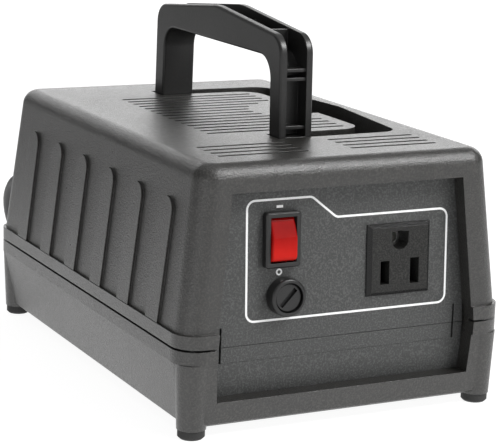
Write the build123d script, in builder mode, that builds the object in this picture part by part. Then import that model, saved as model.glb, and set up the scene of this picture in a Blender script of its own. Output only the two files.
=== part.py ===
from build123d import *
import math
import os

os.makedirs("parts", exist_ok=True)


# Travel voltage converter. Millimetres, +Z up, front face towards -Y, standing on Z = 0.

# The case, outside
case_width = 135.0
case_depth = 191.4
case_top = 98.6
case_bottom = 4.7
seam_height = 33.5
seam_gap = 0.8
ledge_height = 5.4
ledge_step = 1.1
corner_radius = 9.6
upper_corner_radius = 8.4
top_rounding = 6.2
side_draft = 0.12
end_draft = 0.05
wall = 2.5
lower_band_height = 5.0
lower_band_step = 0.8
lower_side_inset = 4.3
lower_end_inset = 2.2
floor_thickness = 2.6
bottom_rounding = 0.8
tongue_thickness = 1.3
tongue_height = 2.6
tongue_clearance = 0.25

# The posts, feet and case screws
post_inset_x = 7.5
post_inset_y = 6.7
post_foot_radius = 5.4
post_top_radius = 6.5
foot_pad_height = 3.5
foot_pad_radius = 5.0
foot_spigot_length = 6.0
boss_radius = 4.5
boss_reach = 11.0
screw_head_radius = 3.2
screw_head_height = 2.4
screw_shank_radius = 1.9
screw_seat_height = 16.0
screw_hole_clearance = 0.1
foot_spigot_fit = 0.1

# The windows in the two ends, and the panels in them
window_top = 88.5
window_top_half = 47.6
window_seam_half = 53.8
window_bottom = 13.3
window_bottom_half = 52.5
panel_recess = 6.3
panel_thickness = 2.4
panel_clearance = 0.1
panel_lap = 1.2
panel_side_gap = 0.3
panel_joint = 0.2
panel_joint_height = 31.6
panel_strip_bottom = 25.7
panel_groove_x = 49.0
panel_groove_width = 0.8
panel_groove_depth = 1.4
jamb_wall = 2.6
jamb_behind = 1.8

# The ribs on the sides
rib_count = 6
rib_pitch = 26.75
rib_width = 10.2
rib_top = 84.0
rib_proud = 1.0
rib_centre_y = -1.5

# The ventilation slots in the top
slot_width = 2.1
slot_pitch = 5.81
middle_slot_count = 15
middle_slot_half = 29.7
front_slot_count = 4
front_slot_first_y = -57.3
front_slot_inner = 8.7
front_slot_outer = 45.7

# The folding handle
handle_x = -0.5
handle_y = 8.3
pivot_height = 91.5
handle_thickness = 14.2
handle_half_span = 57.6
handle_lean = 1.7
handle_apex = 142.2
handle_shoulder_drop = 5.8
handle_grip_height = 14.2
handle_leg_width = 8.6
handle_plate = 2.9
handle_web = 2.0
handle_rib = 1.3
handle_rib_shares = (0.095238, 0.714286, 0.829932)
handle_outer_rounding = 8.0
handle_inner_rounding = 9.0
handle_edge_rounding = 1.0
pivot_pin_radius = 2.5
pivot_fit = 0.05
pivot_seat_depth = 1.2
recess_clearance = 1.0
recess_floor_gap = 0.8
recess_wall = 2.2
handle_apex_rounding = 30.0
handle_channel_start = 98.6
notch_land = 8.8
notch_x = 30.0
notch_radius = 10.4

# The rocker switch
switch_x = -25.6
switch_z = 69.6
bezel_width = 14.0
bezel_height = 20.2
bezel_proud = 3.2
bezel_lead = 0.5
bezel_corner = 1.0
switch_body_width = 12.2
switch_body_height = 18.4
switch_body_depth = 15.0
switch_wall = 0.8
rocker_width = 10.1
rocker_gap = 0.2
rocker_radius = 8.1
rocker_ridge = 4.6
rocker_slope = 11.0
rocker_tilt = 11.0
rocker_back = 4.0
rocker_end_rounding = 1.8
rocker_side_rounding = 0.7
rocker_pin_radius = 1.2
rocker_pin_length = 0.9
rocker_pin_fit = 0.05
blade_width = 4.8
blade_thickness = 0.8
blade_length = 8.0

# The fuse holder
fuse_x = -23.9
fuse_z = 48.6
fuse_flange_radius = 7.0
fuse_flange_height = 2.0
fuse_rim_height = 5.0
fuse_rim_gap = 0.15
fuse_rim_rounding = 1.0
fuse_body_radius = 5.9
fuse_body_length = 34.0
fuse_cap_radius = 5.4
fuse_cap_gap = 0.1
fuse_cap_bevel = 0.5
fuse_stub_radius = 1.5
fuse_stub_length = 2.5
fuse_stub_fit = 0.05
fuse_cap_proud = 2.0
fuse_cap_skirt = 5.0
fuse_slot_length = 8.4
fuse_slot_width = 1.7
fuse_slot_depth = 1.4
fuse_slot_angle = 45.0
fuse_bore_radius = 4.3
carrier_radius = 4.0
carrier_length = 24.0
fuse_radius = 2.55
fuse_glass_radius = 2.4
fuse_length = 20.0
fuse_end_length = 5.0
fuse_seat_gap = 0.05
fuse_trough_half = 1.6
fuse_nut_flats = 16.0
fuse_nut_height = 4.0

# The output socket
socket_x = 23.7
socket_z = 58.55
socket_size = 26.8
socket_proud = 1.9
socket_chamfer = 1.4
socket_body_size = 24.6
socket_body_depth = 19.0
blade_spacing = 12.7
ground_above_blades = 11.9
blade_slot_z = 53.8
live_slot_height = 8.8
neutral_slot_height = 9.7
blade_slot_width = 3.8
blade_slot_depth = 15.0
ground_hole_width = 7.1
ground_hole_height = 6.7
contact_thickness = 0.6
contact_length = 11.0
contact_setback = 2.0
socket_face_thickness = 3.2
contact_pocket_width = 5.6
contact_pocket_extra = 1.0
contact_tail = 6.0
ground_sleeve_radius = 3.6
ground_sleeve_bore = 2.6

# The transformer
core_width = 84.0
core_height = 70.0
core_stack = 44.0
core_limb = 14.0
core_y = 5.0
core_window_clearance = 0.5
bobbin_fit = 0.3
winding_tape = 0.2
bobbin_flange = 1.6
bobbin_tube = 1.4
primary_build = 4.6
secondary_build = 4.6
winding_end_gap = 0.2
bracket_thickness = 2.0
bracket_foot = 14.0
bracket_leg = 12.0
bracket_screw_x = 28.0
bracket_screw_out = 8.0
bracket_screw_radius = 1.5
bracket_screw_head_radius = 3.0
bracket_screw_head_height = 1.8
bracket_screw_depth = 3.4
bolt_head_radius = 3.6
bolt_head_height = 2.6
bolt_end = 1.0
core_bolt_radius = 2.0
core_bolt_clearance = 0.2
core_bolt_inset = 7.0
nut_flats = 7.0
nut_height = 3.2
floor_rail_height = 2.2
cutout_length = 16.0
cutout_width = 8.0
cutout_height = 4.0

# The mains cord behind the converter
cord_diameter = 7.0
gland_x = -42.0
gland_z = 48.6
gland_body_radius = 7.5
gland_body_length = 5.0
gland_sleeve_length = 23.0
gland_sleeve_radius = 6.2
gland_tip_radius = 4.7
gland_tail = 8.0
gland_neck_radius = 6.0
gland_groove_count = 5
gland_groove_width = 1.4
gland_groove_depth = 0.9
cord_straight = 21.0
coil_x = 43.5
coil_y = 152.0
coil_start_angle = 135.0
coil_pitch = 7.6
coil_radius = 46.0
coil_layer_turns = 2
coil_height_above_floor = 0.1
cord_tail_lead = 20.0
cord_tail_bend = 30.0
cord_tail_drop = 38.0
least_coil_gap = 0.4
plug_width = 50.0
plug_length = 52.0
plug_thickness = 22.2
plug_corner = 9.0
plug_base_thickness = 8.0
plug_pins_from_entry = 15.0
plug_taper = 7.0
plug_sleeve_length = 16.0
plug_sleeve_radius = 5.4
plug_pin_spacing = 22.2
earth_pin_offset = 22.2
earth_pin_width = 4.0
earth_pin_depth = 8.0
earth_pin_length = 22.7
line_pin_width = 6.35
line_pin_depth = 4.0
line_pin_length = 17.7
pin_root = 3.0

# One overrun serves every cut that has to run past its surface
overrun = 4.0


# Places worked out from the sizes above
half_width = case_width / 2
half_depth = case_depth / 2
post_x = half_width - post_inset_x
post_y = half_depth - post_inset_y
lower_top = seam_height - seam_gap / 2
upper_bottom = seam_height + seam_gap / 2
ledge_top = seam_height + ledge_height
lower_band_bottom = lower_top - lower_band_height
floor_top = case_bottom + floor_thickness
wall_half_width = half_width - ledge_step
wall_half_depth = half_depth - ledge_step - ledge_step / 4
lower_half_depth = half_depth - lower_band_step
jamb_depth = panel_recess + panel_thickness + jamb_behind
side_angle = math.degrees(math.atan(side_draft))
handle_shoulder = handle_apex - handle_shoulder_drop
handle_underside = handle_apex - handle_grip_height
steep_share = 0.9


def leaning_plane(side, out, height, slope):
    """A plane on one end: local X across, local Y up the slope, Z outwards, leaning in by the slope."""
    length = math.hypot(1, slope)
    return Plane(
        origin=(0, side * out, height),
        x_dir=(-side, 0, 0),
        z_dir=(0, side / length, slope / length),
    )


def on_plane(plane, points):
    """Points given across and by height above the floor, in the plane's own coordinates."""
    return [(x, (z - plane.origin.Z) / plane.y_dir.Z) for x, z in points]


def window_half(z):
    """Half of the window's width at a height: widest at the seam."""
    if z >= seam_height:
        rise = (z - seam_height) / (window_top - seam_height)
        return window_seam_half + (window_top_half - window_seam_half) * rise
    drop = (seam_height - z) / (seam_height - window_bottom)
    return window_seam_half + (window_bottom_half - window_seam_half) * drop


def window_points(low, high, grow, top_grow=0.0, bottom_grow=0.0):
    """Corners of a stretch of the window, grown sideways and past its top or bottom."""
    bottom_half = window_half(low) + grow
    top_half = window_half(high) + grow
    return [
        (-bottom_half, low - bottom_grow),
        (bottom_half, low - bottom_grow),
        (top_half, high + top_grow),
        (-top_half, high + top_grow),
    ]


def drafted_block(low, high, half_widths, half_depths, corner, rounding):
    """A block whose sides and ends lean in, with round corners and a round upper edge."""
    with BuildPart() as block:
        with BuildSketch(Plane.XZ):
            Polygon(
                (-half_widths[0], low),
                (half_widths[0], low),
                (half_widths[1], high),
                (-half_widths[1], high),
                align=None,
            )
        extrude(amount=max(half_depths), both=True)
        with BuildSketch(Plane.YZ):
            Polygon(
                (-half_depths[0], low),
                (half_depths[0], low),
                (half_depths[1], high),
                (-half_depths[1], high),
                align=None,
            )
        extrude(amount=max(half_widths), both=True, mode=Mode.INTERSECT)
        fillet(block.edges().filter_by(lambda edge: abs(edge.tangent_at(0.5).Z) > steep_share), corner)
        if rounding:
            fillet(block.faces().sort_by(Axis.Z)[-1].edges(), rounding)
    return block.part


def arch_sketch(grow, foot):
    """The handle's outline seen from the side, along X from the pivot, grown outwards and inwards."""
    lean = math.tan(math.radians(handle_lean))
    shoulder = handle_shoulder - pivot_height
    apex = handle_apex - pivot_height
    under = handle_underside - pivot_height
    outer = handle_half_span + grow
    inner = handle_half_span - handle_leg_width - grow
    with BuildSketch() as arch:
        with BuildLine():
            Polyline(
                (-foot, outer + foot * lean),
                (shoulder + grow / 2, outer - shoulder * lean),
                (apex + grow, 0),
                (shoulder + grow / 2, -(outer - shoulder * lean)),
                (-foot, -(outer + foot * lean)),
                (-foot, -(inner + foot * lean)),
                (under - grow, -(inner - under * lean)),
                (under - grow, inner - under * lean),
                (-foot, inner + foot * lean),
                close=True,
            )
        make_face()
        fillet(arch.vertices().sort_by(Axis.X)[-1], handle_apex_rounding)
        outer_corners = arch.vertices().filter_by(lambda v: abs(v.Y) > inner and v.X > under)
        fillet(outer_corners, handle_outer_rounding)
        inner_corners = arch.vertices().filter_by(lambda v: 0 < v.X < under + overrun and abs(v.Y) < inner)
        fillet(inner_corners, handle_inner_rounding)
    return arch.sketch


def folded_sketch(grow):
    """The folded handle's outline on the case's top, with the finger notch in the island."""
    hub = handle_thickness / 2
    arch = arch_sketch(recess_clearance + grow, hub + recess_floor_gap + grow)
    with BuildSketch() as outline:
        with Locations((handle_x, handle_y)):
            add(arch)
        with Locations((notch_x, handle_y)):
            Circle(notch_radius + grow)
        trench_start = handle_x + handle_underside - pivot_height
        with Locations(((notch_x + trench_start) / 2, handle_y)):
            Rectangle(trench_start - notch_x, 2 * (notch_radius + grow))
    return outline.sketch


# The lower case: a tapered tray on four posts
lower_bottom_half_width = half_width - lower_side_inset
lower_bottom_half_depth = half_depth - lower_end_inset
lower_slope = (lower_bottom_half_depth - lower_half_depth) / (lower_band_bottom - case_bottom)
lower_panel_recess = lower_half_depth - wall_half_depth + panel_recess
lower_jamb_depth = lower_panel_recess + panel_thickness + jamb_behind
band_inner_half_width = wall_half_width - wall - tongue_clearance - tongue_thickness
band_inner_half_depth = wall_half_depth - wall - tongue_clearance - tongue_thickness
lower_corner = corner_radius - lower_band_step
inner_corner = corner_radius - wall - lower_end_inset
rail_width = core_width - core_limb
rail_depth = bracket_foot + core_limb / 2
rail_y = core_stack / 2 + (bracket_foot - core_limb / 2) / 2
core_bottom = floor_top + floor_rail_height

with BuildPart() as lower_cavity:
    with BuildSketch(Plane.XY.offset(floor_top)):
        RectangleRounded(
            2 * (lower_bottom_half_width - wall), 2 * (lower_bottom_half_depth - wall), inner_corner
        )
    with BuildSketch(Plane.XY.offset(lower_band_bottom)):
        RectangleRounded(2 * band_inner_half_width, 2 * band_inner_half_depth, inner_corner)
    loft(ruled=True)
    with BuildSketch(Plane.XY.offset(lower_band_bottom)):
        RectangleRounded(2 * band_inner_half_width, 2 * band_inner_half_depth, inner_corner)
    extrude(amount=lower_band_height + tongue_height + overrun)
    # what stands inside is left out of the hollow: screw bosses, rails and the jambs
    with BuildSketch(Plane.XY.offset(floor_top - overrun)):
        with GridLocations(2 * post_x, 2 * post_y, 2, 2):
            Circle(boss_radius)
    extrude(amount=overrun + upper_bottom - floor_top, mode=Mode.SUBTRACT)
    with BuildSketch(Plane.XY.offset(floor_top)):
        with Locations((0, core_y - rail_y), (0, core_y + rail_y)):
            Rectangle(rail_width, rail_depth)
    extrude(amount=floor_rail_height, mode=Mode.SUBTRACT)
    for side in (-1, 1):
        jamb_plane = leaning_plane(side, lower_half_depth, lower_band_bottom, lower_slope)
        jamb_corners = window_points(window_bottom, lower_band_bottom, jamb_wall, bottom_grow=jamb_wall)
        with BuildSketch(jamb_plane):
            Polygon(*on_plane(jamb_plane, jamb_corners), align=None)
        extrude(amount=-lower_jamb_depth, mode=Mode.SUBTRACT)

with BuildPart() as lower_case:
    with BuildSketch(Plane.XY.offset(lower_band_bottom)):
        RectangleRounded(case_width, case_depth, corner_radius)
    extrude(amount=lower_band_height)
    for height, inset in ((case_bottom, bottom_rounding), (case_bottom + bottom_rounding, 0)):
        with BuildSketch(Plane.XY.offset(height)):
            RectangleRounded(
                2 * (lower_bottom_half_width - inset),
                2 * (lower_bottom_half_depth - inset),
                lower_corner - lower_band_step - inset,
            )
    with BuildSketch(Plane.XY.offset(lower_band_bottom)):
        RectangleRounded(case_width - 2 * lower_band_step, 2 * lower_half_depth, lower_corner)
    loft(ruled=True)
    # the tongue that closes the seam from inside
    with BuildSketch(Plane.XY.offset(lower_top)):
        RectangleRounded(
            2 * (band_inner_half_width + tongue_thickness),
            2 * (band_inner_half_depth + tongue_thickness),
            corner_radius - wall - ledge_step,
        )
    extrude(amount=tongue_height)
    with BuildSketch(Plane.XY.offset(upper_bottom)):
        with GridLocations(2 * post_x, 2 * post_y, 2, 2):
            Circle(boss_radius + tongue_clearance)
    extrude(amount=tongue_height, mode=Mode.SUBTRACT)
    # the four posts
    for sx in (-1, 1):
        for sy in (-1, 1):
            with BuildSketch(Plane.XY.offset(foot_pad_height)):
                with Locations((sx * post_x, sy * post_y)):
                    Circle(post_foot_radius)
            with BuildSketch(Plane.XY.offset(lower_band_bottom)):
                with Locations((sx * post_x, sy * post_y)):
                    Circle(post_top_radius)
            loft(ruled=True)
    add(lower_cavity.part, mode=Mode.SUBTRACT)
    # the window for the lower panel, through both ends, and the grooves that hold it
    for side in (-1, 1):
        level_plane = leaning_plane(side, half_depth + overrun, 0, 0)
        with BuildSketch(level_plane):
            Polygon(*window_points(window_bottom, seam_height, 0, top_grow=overrun), align=None)
        extrude(amount=-(lower_jamb_depth + lower_band_step + 2 * overrun), mode=Mode.SUBTRACT)
        groove_plane = leaning_plane(side, lower_half_depth, lower_band_bottom, lower_slope).offset(
            panel_clearance - lower_panel_recess
        )
        groove_corners = window_points(window_bottom, lower_band_bottom, panel_lap, bottom_grow=panel_lap)
        with BuildSketch(groove_plane):
            Polygon(*on_plane(groove_plane, groove_corners), align=None)
        extrude(amount=-(panel_thickness + 2 * panel_clearance), mode=Mode.SUBTRACT)
    # screw holes: a wide bore up each post, then the shank's hole through the boss
    with BuildSketch(Plane.XY):
        with GridLocations(2 * post_x, 2 * post_y, 2, 2):
            Circle(screw_head_radius + screw_hole_clearance)
    extrude(amount=screw_seat_height, mode=Mode.SUBTRACT)
    with BuildSketch(Plane.XY):
        with GridLocations(2 * post_x, 2 * post_y, 2, 2):
            Circle(screw_shank_radius + screw_hole_clearance)
    extrude(amount=upper_bottom, mode=Mode.SUBTRACT)
    # the holes for the screws of the transformer's brackets
    with BuildSketch(Plane.XY.offset(core_bottom)):
        with Locations((0, core_y)):
            with GridLocations(2 * bracket_screw_x, core_stack + 2 * bracket_screw_out, 2, 2):
                Circle(bracket_screw_radius)
    extrude(amount=-bracket_screw_depth, mode=Mode.SUBTRACT)


# The upper case: leaning walls, ribbed sides, vents and the handle's recess
draft_rise = case_top - ledge_top
top_half_width = wall_half_width - side_draft * draft_rise
top_half_depth = wall_half_depth - end_draft * draft_rise
recess_floor = pivot_height - handle_thickness / 2 - recess_floor_gap
cavity_top = case_top - wall
cavity_low = upper_bottom - overrun
cavity_fall = ledge_top - cavity_low
cavity_rise = cavity_top - ledge_top

with BuildPart() as upper_cavity:
    add(
        drafted_block(
            cavity_low,
            cavity_top,
            (
                wall_half_width - wall + side_draft * cavity_fall,
                wall_half_width - wall - side_draft * cavity_rise,
            ),
            (
                wall_half_depth - wall + end_draft * cavity_fall,
                wall_half_depth - wall - end_draft * cavity_rise,
            ),
            upper_corner_radius - wall,
            top_rounding - wall,
        )
    )
    with BuildSketch(Plane.XY.offset(cavity_low)):
        with GridLocations(2 * post_x, 2 * post_y, 2, 2):
            Circle(boss_radius)
    extrude(amount=upper_bottom + boss_reach - cavity_low, mode=Mode.SUBTRACT)
    with BuildSketch(Plane.XY.offset(recess_floor - recess_wall)):
        add(folded_sketch(recess_wall))
    extrude(amount=case_top - recess_floor, mode=Mode.SUBTRACT)
    for side in (-1, 1):
        jamb_plane = leaning_plane(side, wall_half_depth, ledge_top, end_draft)
        jamb_corners = window_points(ledge_top, window_top, jamb_wall, top_grow=jamb_wall)
        with BuildSketch(jamb_plane):
            Polygon(*on_plane(jamb_plane, jamb_corners), align=None)
        extrude(amount=-jamb_depth, mode=Mode.SUBTRACT)

with BuildPart() as upper_case:
    add(
        drafted_block(
            ledge_top,
            case_top,
            (wall_half_width, top_half_width),
            (wall_half_depth, top_half_depth),
            upper_corner_radius,
            top_rounding,
        )
    )
    with BuildSketch(Plane.XY.offset(upper_bottom)):
        RectangleRounded(case_width, case_depth, corner_radius)
    extrude(amount=ledge_top - upper_bottom)
    # the ribs: flat strips with round tops that rise from the ledge
    rib_rise = (rib_top - ledge_top) / math.cos(math.radians(side_angle))
    rib_straight = rib_rise - rib_width / 2
    for side in (-1, 1):
        side_plane = Plane(
            origin=(side * wall_half_width, rib_centre_y, ledge_top),
            x_dir=(0, side, 0),
            z_dir=(side, 0, side_draft),
        )
        with BuildSketch(side_plane.offset(-wall / 2)):
            with GridLocations(rib_pitch, 0, rib_count, 1):
                with Locations((0, rib_straight / 2)):
                    Rectangle(rib_width, rib_straight)
                with Locations((0, rib_straight)):
                    Circle(rib_width / 2)
        extrude(amount=wall / 2 + rib_proud)
    add(upper_cavity.part, mode=Mode.SUBTRACT)
    # the windows and the grooves for the upper panels
    for side in (-1, 1):
        level_plane = leaning_plane(side, half_depth + overrun, 0, 0)
        with BuildSketch(level_plane):
            Polygon(*window_points(seam_height, window_top, 0, bottom_grow=overrun), align=None)
        extrude(
            amount=-(jamb_depth + end_draft * draft_rise + 2 * ledge_step + 2 * overrun),
            mode=Mode.SUBTRACT,
        )
        groove_plane = leaning_plane(side, wall_half_depth, ledge_top, end_draft).offset(
            panel_clearance - panel_recess
        )
        groove_corners = window_points(ledge_top, window_top, panel_lap, top_grow=panel_lap)
        with BuildSketch(groove_plane):
            Polygon(*on_plane(groove_plane, groove_corners), align=None)
        extrude(amount=-(panel_thickness + 2 * panel_clearance), mode=Mode.SUBTRACT)
    # the recess that the folded handle lies in
    with BuildSketch(Plane.XY.offset(recess_floor)):
        add(folded_sketch(0))
    extrude(amount=case_top, mode=Mode.SUBTRACT)
    # blind seats for the handle's pivot pins, in the walls on both sides of each leg
    seat_centre = handle_half_span - handle_leg_width / 2
    seat_length = handle_leg_width + 2 * recess_clearance + 2 * pivot_seat_depth
    with BuildSketch(Plane.XZ.offset(-handle_y)):
        with Locations((handle_x, pivot_height)):
            Circle(pivot_pin_radius)
    pin_seat = extrude(amount=seat_length / 2, both=True, mode=Mode.PRIVATE)
    for side in (-1, 1):
        add(pin_seat.moved(Location((0, side * seat_centre, 0))), mode=Mode.SUBTRACT)
    # the vents: the middle rows stop short of the finger notch, two short groups stand at the front
    slot_land = notch_radius + notch_land
    with BuildSketch(Plane.XY.offset(case_top)):
        for row in range(middle_slot_count):
            across = (row - (middle_slot_count - 1) / 2) * slot_pitch
            right = middle_slot_half
            if abs(across) < slot_land:
                right = min(right, notch_x - math.sqrt(slot_land**2 - across**2))
            with Locations(((right - middle_slot_half) / 2, handle_y + across)):
                SlotOverall(right + middle_slot_half, slot_width)
        for side in (-1, 1):
            for row in range(front_slot_count):
                row_y = front_slot_first_y - row * slot_pitch
                with Locations((side * (front_slot_inner + front_slot_outer) / 2, row_y)):
                    SlotOverall(front_slot_outer - front_slot_inner, slot_width)
    extrude(amount=-2 * wall, mode=Mode.SUBTRACT)
    # the case screws' pilot holes
    with BuildSketch(Plane.XY.offset(upper_bottom)):
        with GridLocations(2 * post_x, 2 * post_y, 2, 2):
            Circle(screw_shank_radius)
    extrude(amount=boss_reach - wall / 2, mode=Mode.SUBTRACT)

lower_case.part.label = "lower_case"
export_step(lower_case.part, "parts/lower_case.step")
upper_case.part.label = "upper_case"
export_step(upper_case.part, "parts/upper_case.step")


# The rubber feet, pressed up into the posts
for sx, side_name in ((-1, "left"), (1, "right")):
    for sy, end_name in ((-1, "front"), (1, "rear")):
        with BuildPart() as rubber_foot:
            with BuildSketch(Plane.XY):
                with Locations((sx * post_x, sy * post_y)):
                    Circle(foot_pad_radius)
            extrude(amount=foot_pad_height)
            chamfer(rubber_foot.faces().sort_by(Axis.Z)[0].edges(), bottom_rounding)
            with BuildSketch(Plane.XY.offset(foot_pad_height)):
                with Locations((sx * post_x, sy * post_y)):
                    Circle(screw_head_radius + screw_hole_clearance - foot_spigot_fit)
            extrude(amount=foot_spigot_length)
        foot_name = f"foot_{end_name}_{side_name}"
        rubber_foot.part.label = foot_name
        export_step(rubber_foot.part, f"parts/{foot_name}.step")


# The four screws that hold the halves together, driven from below
screw_length = upper_bottom + boss_reach - wall - screw_seat_height
with BuildPart() as case_screws:
    with BuildSketch(Plane.XY.offset(screw_seat_height - screw_head_height)):
        with GridLocations(2 * post_x, 2 * post_y, 2, 2):
            Circle(screw_head_radius)
    extrude(amount=screw_head_height)
    with BuildSketch(Plane.XY.offset(screw_seat_height)):
        with GridLocations(2 * post_x, 2 * post_y, 2, 2):
            Circle(screw_shank_radius)
    extrude(amount=screw_length)
    # a hexagon socket for the driver
    with BuildSketch(Plane.XY.offset(screw_seat_height - screw_head_height)):
        with GridLocations(2 * post_x, 2 * post_y, 2, 2):
            RegularPolygon(screw_shank_radius, side_count=6)
    extrude(amount=screw_head_height / 2, mode=Mode.SUBTRACT)
case_screws.part.label = "case_screws"
export_step(case_screws.part, "parts/case_screws.step")


# The folding handle: two plates, a web on the hand's side and cross ribs between the plates
upright_plane = Plane(origin=(handle_x, handle_y, pivot_height), x_dir=(0, 0, 1), z_dir=(-1, 0, 0))
channel_half = handle_thickness / 2 - handle_plate
with BuildPart() as handle:
    with BuildSketch(upright_plane):
        add(arch_sketch(0, 0))
    extrude(amount=handle_thickness / 2, both=True)
    plate_edges = handle.edges().filter_by_position(Axis.Z, pivot_height + overrun, handle_apex)
    rim_start = handle_thickness / 2 - handle_rib
    fillet(
        plate_edges.filter_by(lambda edge: abs(edge.center().X - handle_x) > rim_start),
        handle_edge_rounding,
    )
    with BuildSketch(Plane.XZ.offset(-handle_y)):
        with Locations((handle_x, pivot_height)):
            Circle(handle_thickness / 2)
    hub_disc = extrude(amount=handle_leg_width / 2, both=True, mode=Mode.PRIVATE)
    for side in (-1, 1):
        add(hub_disc.moved(Location((0, side * seat_centre, 0))))
    # the channel between the plates, open outwards, with the web left standing inside
    lean_share = math.tan(math.radians(handle_lean))
    web_under = handle_underside - pivot_height + handle_web
    web_half = handle_half_span - handle_leg_width + handle_web
    channel_foot = handle_channel_start - pivot_height
    with BuildSketch(upright_plane):
        with Locations(((channel_foot + handle_apex - pivot_height + overrun) / 2, 0)):
            Rectangle(
                handle_apex - handle_channel_start + overrun, 2 * (handle_half_span + overrun)
            )
        with BuildLine():
            FilletPolyline(
                (-overrun, -(web_half + overrun * lean_share)),
                (web_under, -(web_half - web_under * lean_share)),
                (web_under, web_half - web_under * lean_share),
                (-overrun, web_half + overrun * lean_share),
                radius=[handle_inner_rounding + handle_web, handle_inner_rounding + handle_web],
            )
            Line(
                (-overrun, web_half + overrun * lean_share),
                (-overrun, -(web_half + overrun * lean_share)),
            )
        make_face(mode=Mode.SUBTRACT)
    extrude(amount=channel_half, both=True, mode=Mode.SUBTRACT)
    # cross ribs in both legs, and two under the grip's roof
    for rib_share in handle_rib_shares:
        rib_height = handle_channel_start + rib_share * (handle_underside - handle_channel_start)
        rib_low = rib_height - pivot_height
        for side in (-1, 1):
            foot_y = side * (handle_half_span - handle_leg_width + handle_web / 2)
            edge_y = side * (handle_half_span - handle_edge_rounding)
            with BuildSketch(upright_plane):
                Polygon(
                    (rib_low, foot_y - side * rib_low * lean_share),
                    (rib_low + handle_rib, foot_y - side * rib_low * lean_share),
                    (rib_low + handle_rib, edge_y - side * rib_low * lean_share),
                    (rib_low, edge_y - side * rib_low * lean_share),
                    align=None,
                )
            extrude(amount=channel_half + handle_plate / 2, both=True)
    grip_ribs = (-1, -1 / 3, 1 / 3, 1)
    grip_rib_half = handle_half_span - handle_leg_width - handle_inner_rounding
    grip_rib_top = handle_shoulder - pivot_height
    for rib_share in grip_ribs:
        with BuildSketch(upright_plane):
            with Locations(((web_under + grip_rib_top) / 2, rib_share * grip_rib_half)):
                Rectangle(grip_rib_top - web_under + handle_web, handle_rib)
        extrude(amount=channel_half + handle_plate / 2, both=True)
    # the bores for the pivot pins
    with BuildSketch(Plane.XZ.offset(-handle_y)):
        with Locations((handle_x, pivot_height)):
            Circle(pivot_pin_radius + pivot_fit)
    extrude(amount=handle_half_span + overrun, both=True, mode=Mode.SUBTRACT)
handle.part.label = "handle"
export_step(handle.part, "parts/handle.step")

with BuildPart() as handle_pivot_pins:
    with BuildSketch(Plane.XZ.offset(-handle_y)):
        with Locations((handle_x, pivot_height)):
            Circle(pivot_pin_radius)
    pivot_pin = extrude(amount=seat_length / 2, both=True, mode=Mode.PRIVATE)
    for side in (-1, 1):
        add(pivot_pin.moved(Location((0, side * seat_centre, 0))))
handle_pivot_pins.part.label = "handle_pivot_pins"
export_step(handle_pivot_pins.part, "parts/handle_pivot_pins.step")


# The panels: one above the seam and one below it, at each end
panel_planes = {
    side: leaning_plane(side, wall_half_depth, ledge_top, end_draft).offset(-panel_recess)
    for side in (-1, 1)
}
front_panel = panel_planes[-1]
panel_face_out = wall_half_depth - panel_recess / math.cos(math.atan(end_draft))


def place(plane, x, z):
    """A place on a leaning plane, from its distance across and its height above the floor."""
    return on_plane(plane, [(x, z)])[0]


def panel_band(side, low, high):
    """The level strip of a panel beside the seam."""
    plane = leaning_plane(side, panel_face_out, 0, 0)
    with BuildSketch(plane) as strip:
        Polygon(*window_points(low, high, -panel_side_gap), align=None)
    extrude(strip.sketch, amount=-panel_thickness)
    # a narrow groove near each end of the strip
    with BuildSketch(plane) as grooves:
        with Locations((0, (low + high) / 2)):
            with GridLocations(2 * panel_groove_x, 0, 2, 1):
                Rectangle(panel_groove_width, high - low)
    extrude(grooves.sketch, amount=-panel_groove_depth, mode=Mode.SUBTRACT)


def upper_panel(side):
    """The leaning plate of an upper panel, let into its grooves, with its strip at the seam."""
    plane = panel_planes[side]
    grow = panel_lap - panel_clearance
    with BuildSketch(plane) as plate:
        Polygon(*on_plane(plane, window_points(ledge_top, window_top, grow, top_grow=grow)), align=None)
    extrude(plate.sketch, amount=-panel_thickness)
    panel_band(side, panel_joint_height + panel_joint / 2, ledge_top)


def lower_panel(side):
    """The lower panel, which leans in towards the floor."""
    plane = leaning_plane(side, lower_half_depth, lower_band_bottom, lower_slope).offset(-lower_panel_recess)
    grow = panel_lap - panel_clearance
    corners = window_points(window_bottom, panel_strip_bottom, grow, bottom_grow=grow)
    with BuildSketch(plane) as plate:
        Polygon(*on_plane(plane, corners), align=None)
    extrude(plate.sketch, amount=-panel_thickness)
    panel_band(side, panel_strip_bottom, panel_joint_height - panel_joint / 2)


switch_place = place(front_panel, switch_x, switch_z)
fuse_place = place(front_panel, fuse_x, fuse_z)
socket_place = place(front_panel, socket_x, socket_z)
gland_place = place(panel_planes[1], -gland_x, gland_z)

with BuildPart() as front_panel_upper:
    upper_panel(-1)
    with BuildSketch(front_panel):
        with Locations(switch_place):
            Rectangle(switch_body_width + 2 * panel_clearance, switch_body_height + 2 * panel_clearance)
        with Locations(fuse_place):
            Circle(fuse_body_radius + panel_clearance)
        with Locations(socket_place):
            Rectangle(socket_body_size + 2 * panel_clearance, socket_body_size + 2 * panel_clearance)
    extrude(amount=-2 * panel_thickness, mode=Mode.SUBTRACT)
front_panel_upper.part.label = "front_panel_upper"
export_step(front_panel_upper.part, "parts/front_panel_upper.step")

with BuildPart() as rear_panel_upper:
    upper_panel(1)
    with BuildSketch(panel_planes[1]):
        with Locations(gland_place):
            Circle(gland_neck_radius + panel_clearance)
    extrude(amount=-2 * panel_thickness, mode=Mode.SUBTRACT)
rear_panel_upper.part.label = "rear_panel_upper"
export_step(rear_panel_upper.part, "parts/rear_panel_upper.step")

for side, end_name in ((-1, "front"), (1, "rear")):
    with BuildPart() as panel_lower:
        lower_panel(side)
    panel_name = f"{end_name}_panel_lower"
    panel_lower.part.label = panel_name
    export_step(panel_lower.part, f"parts/{panel_name}.step")


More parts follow.
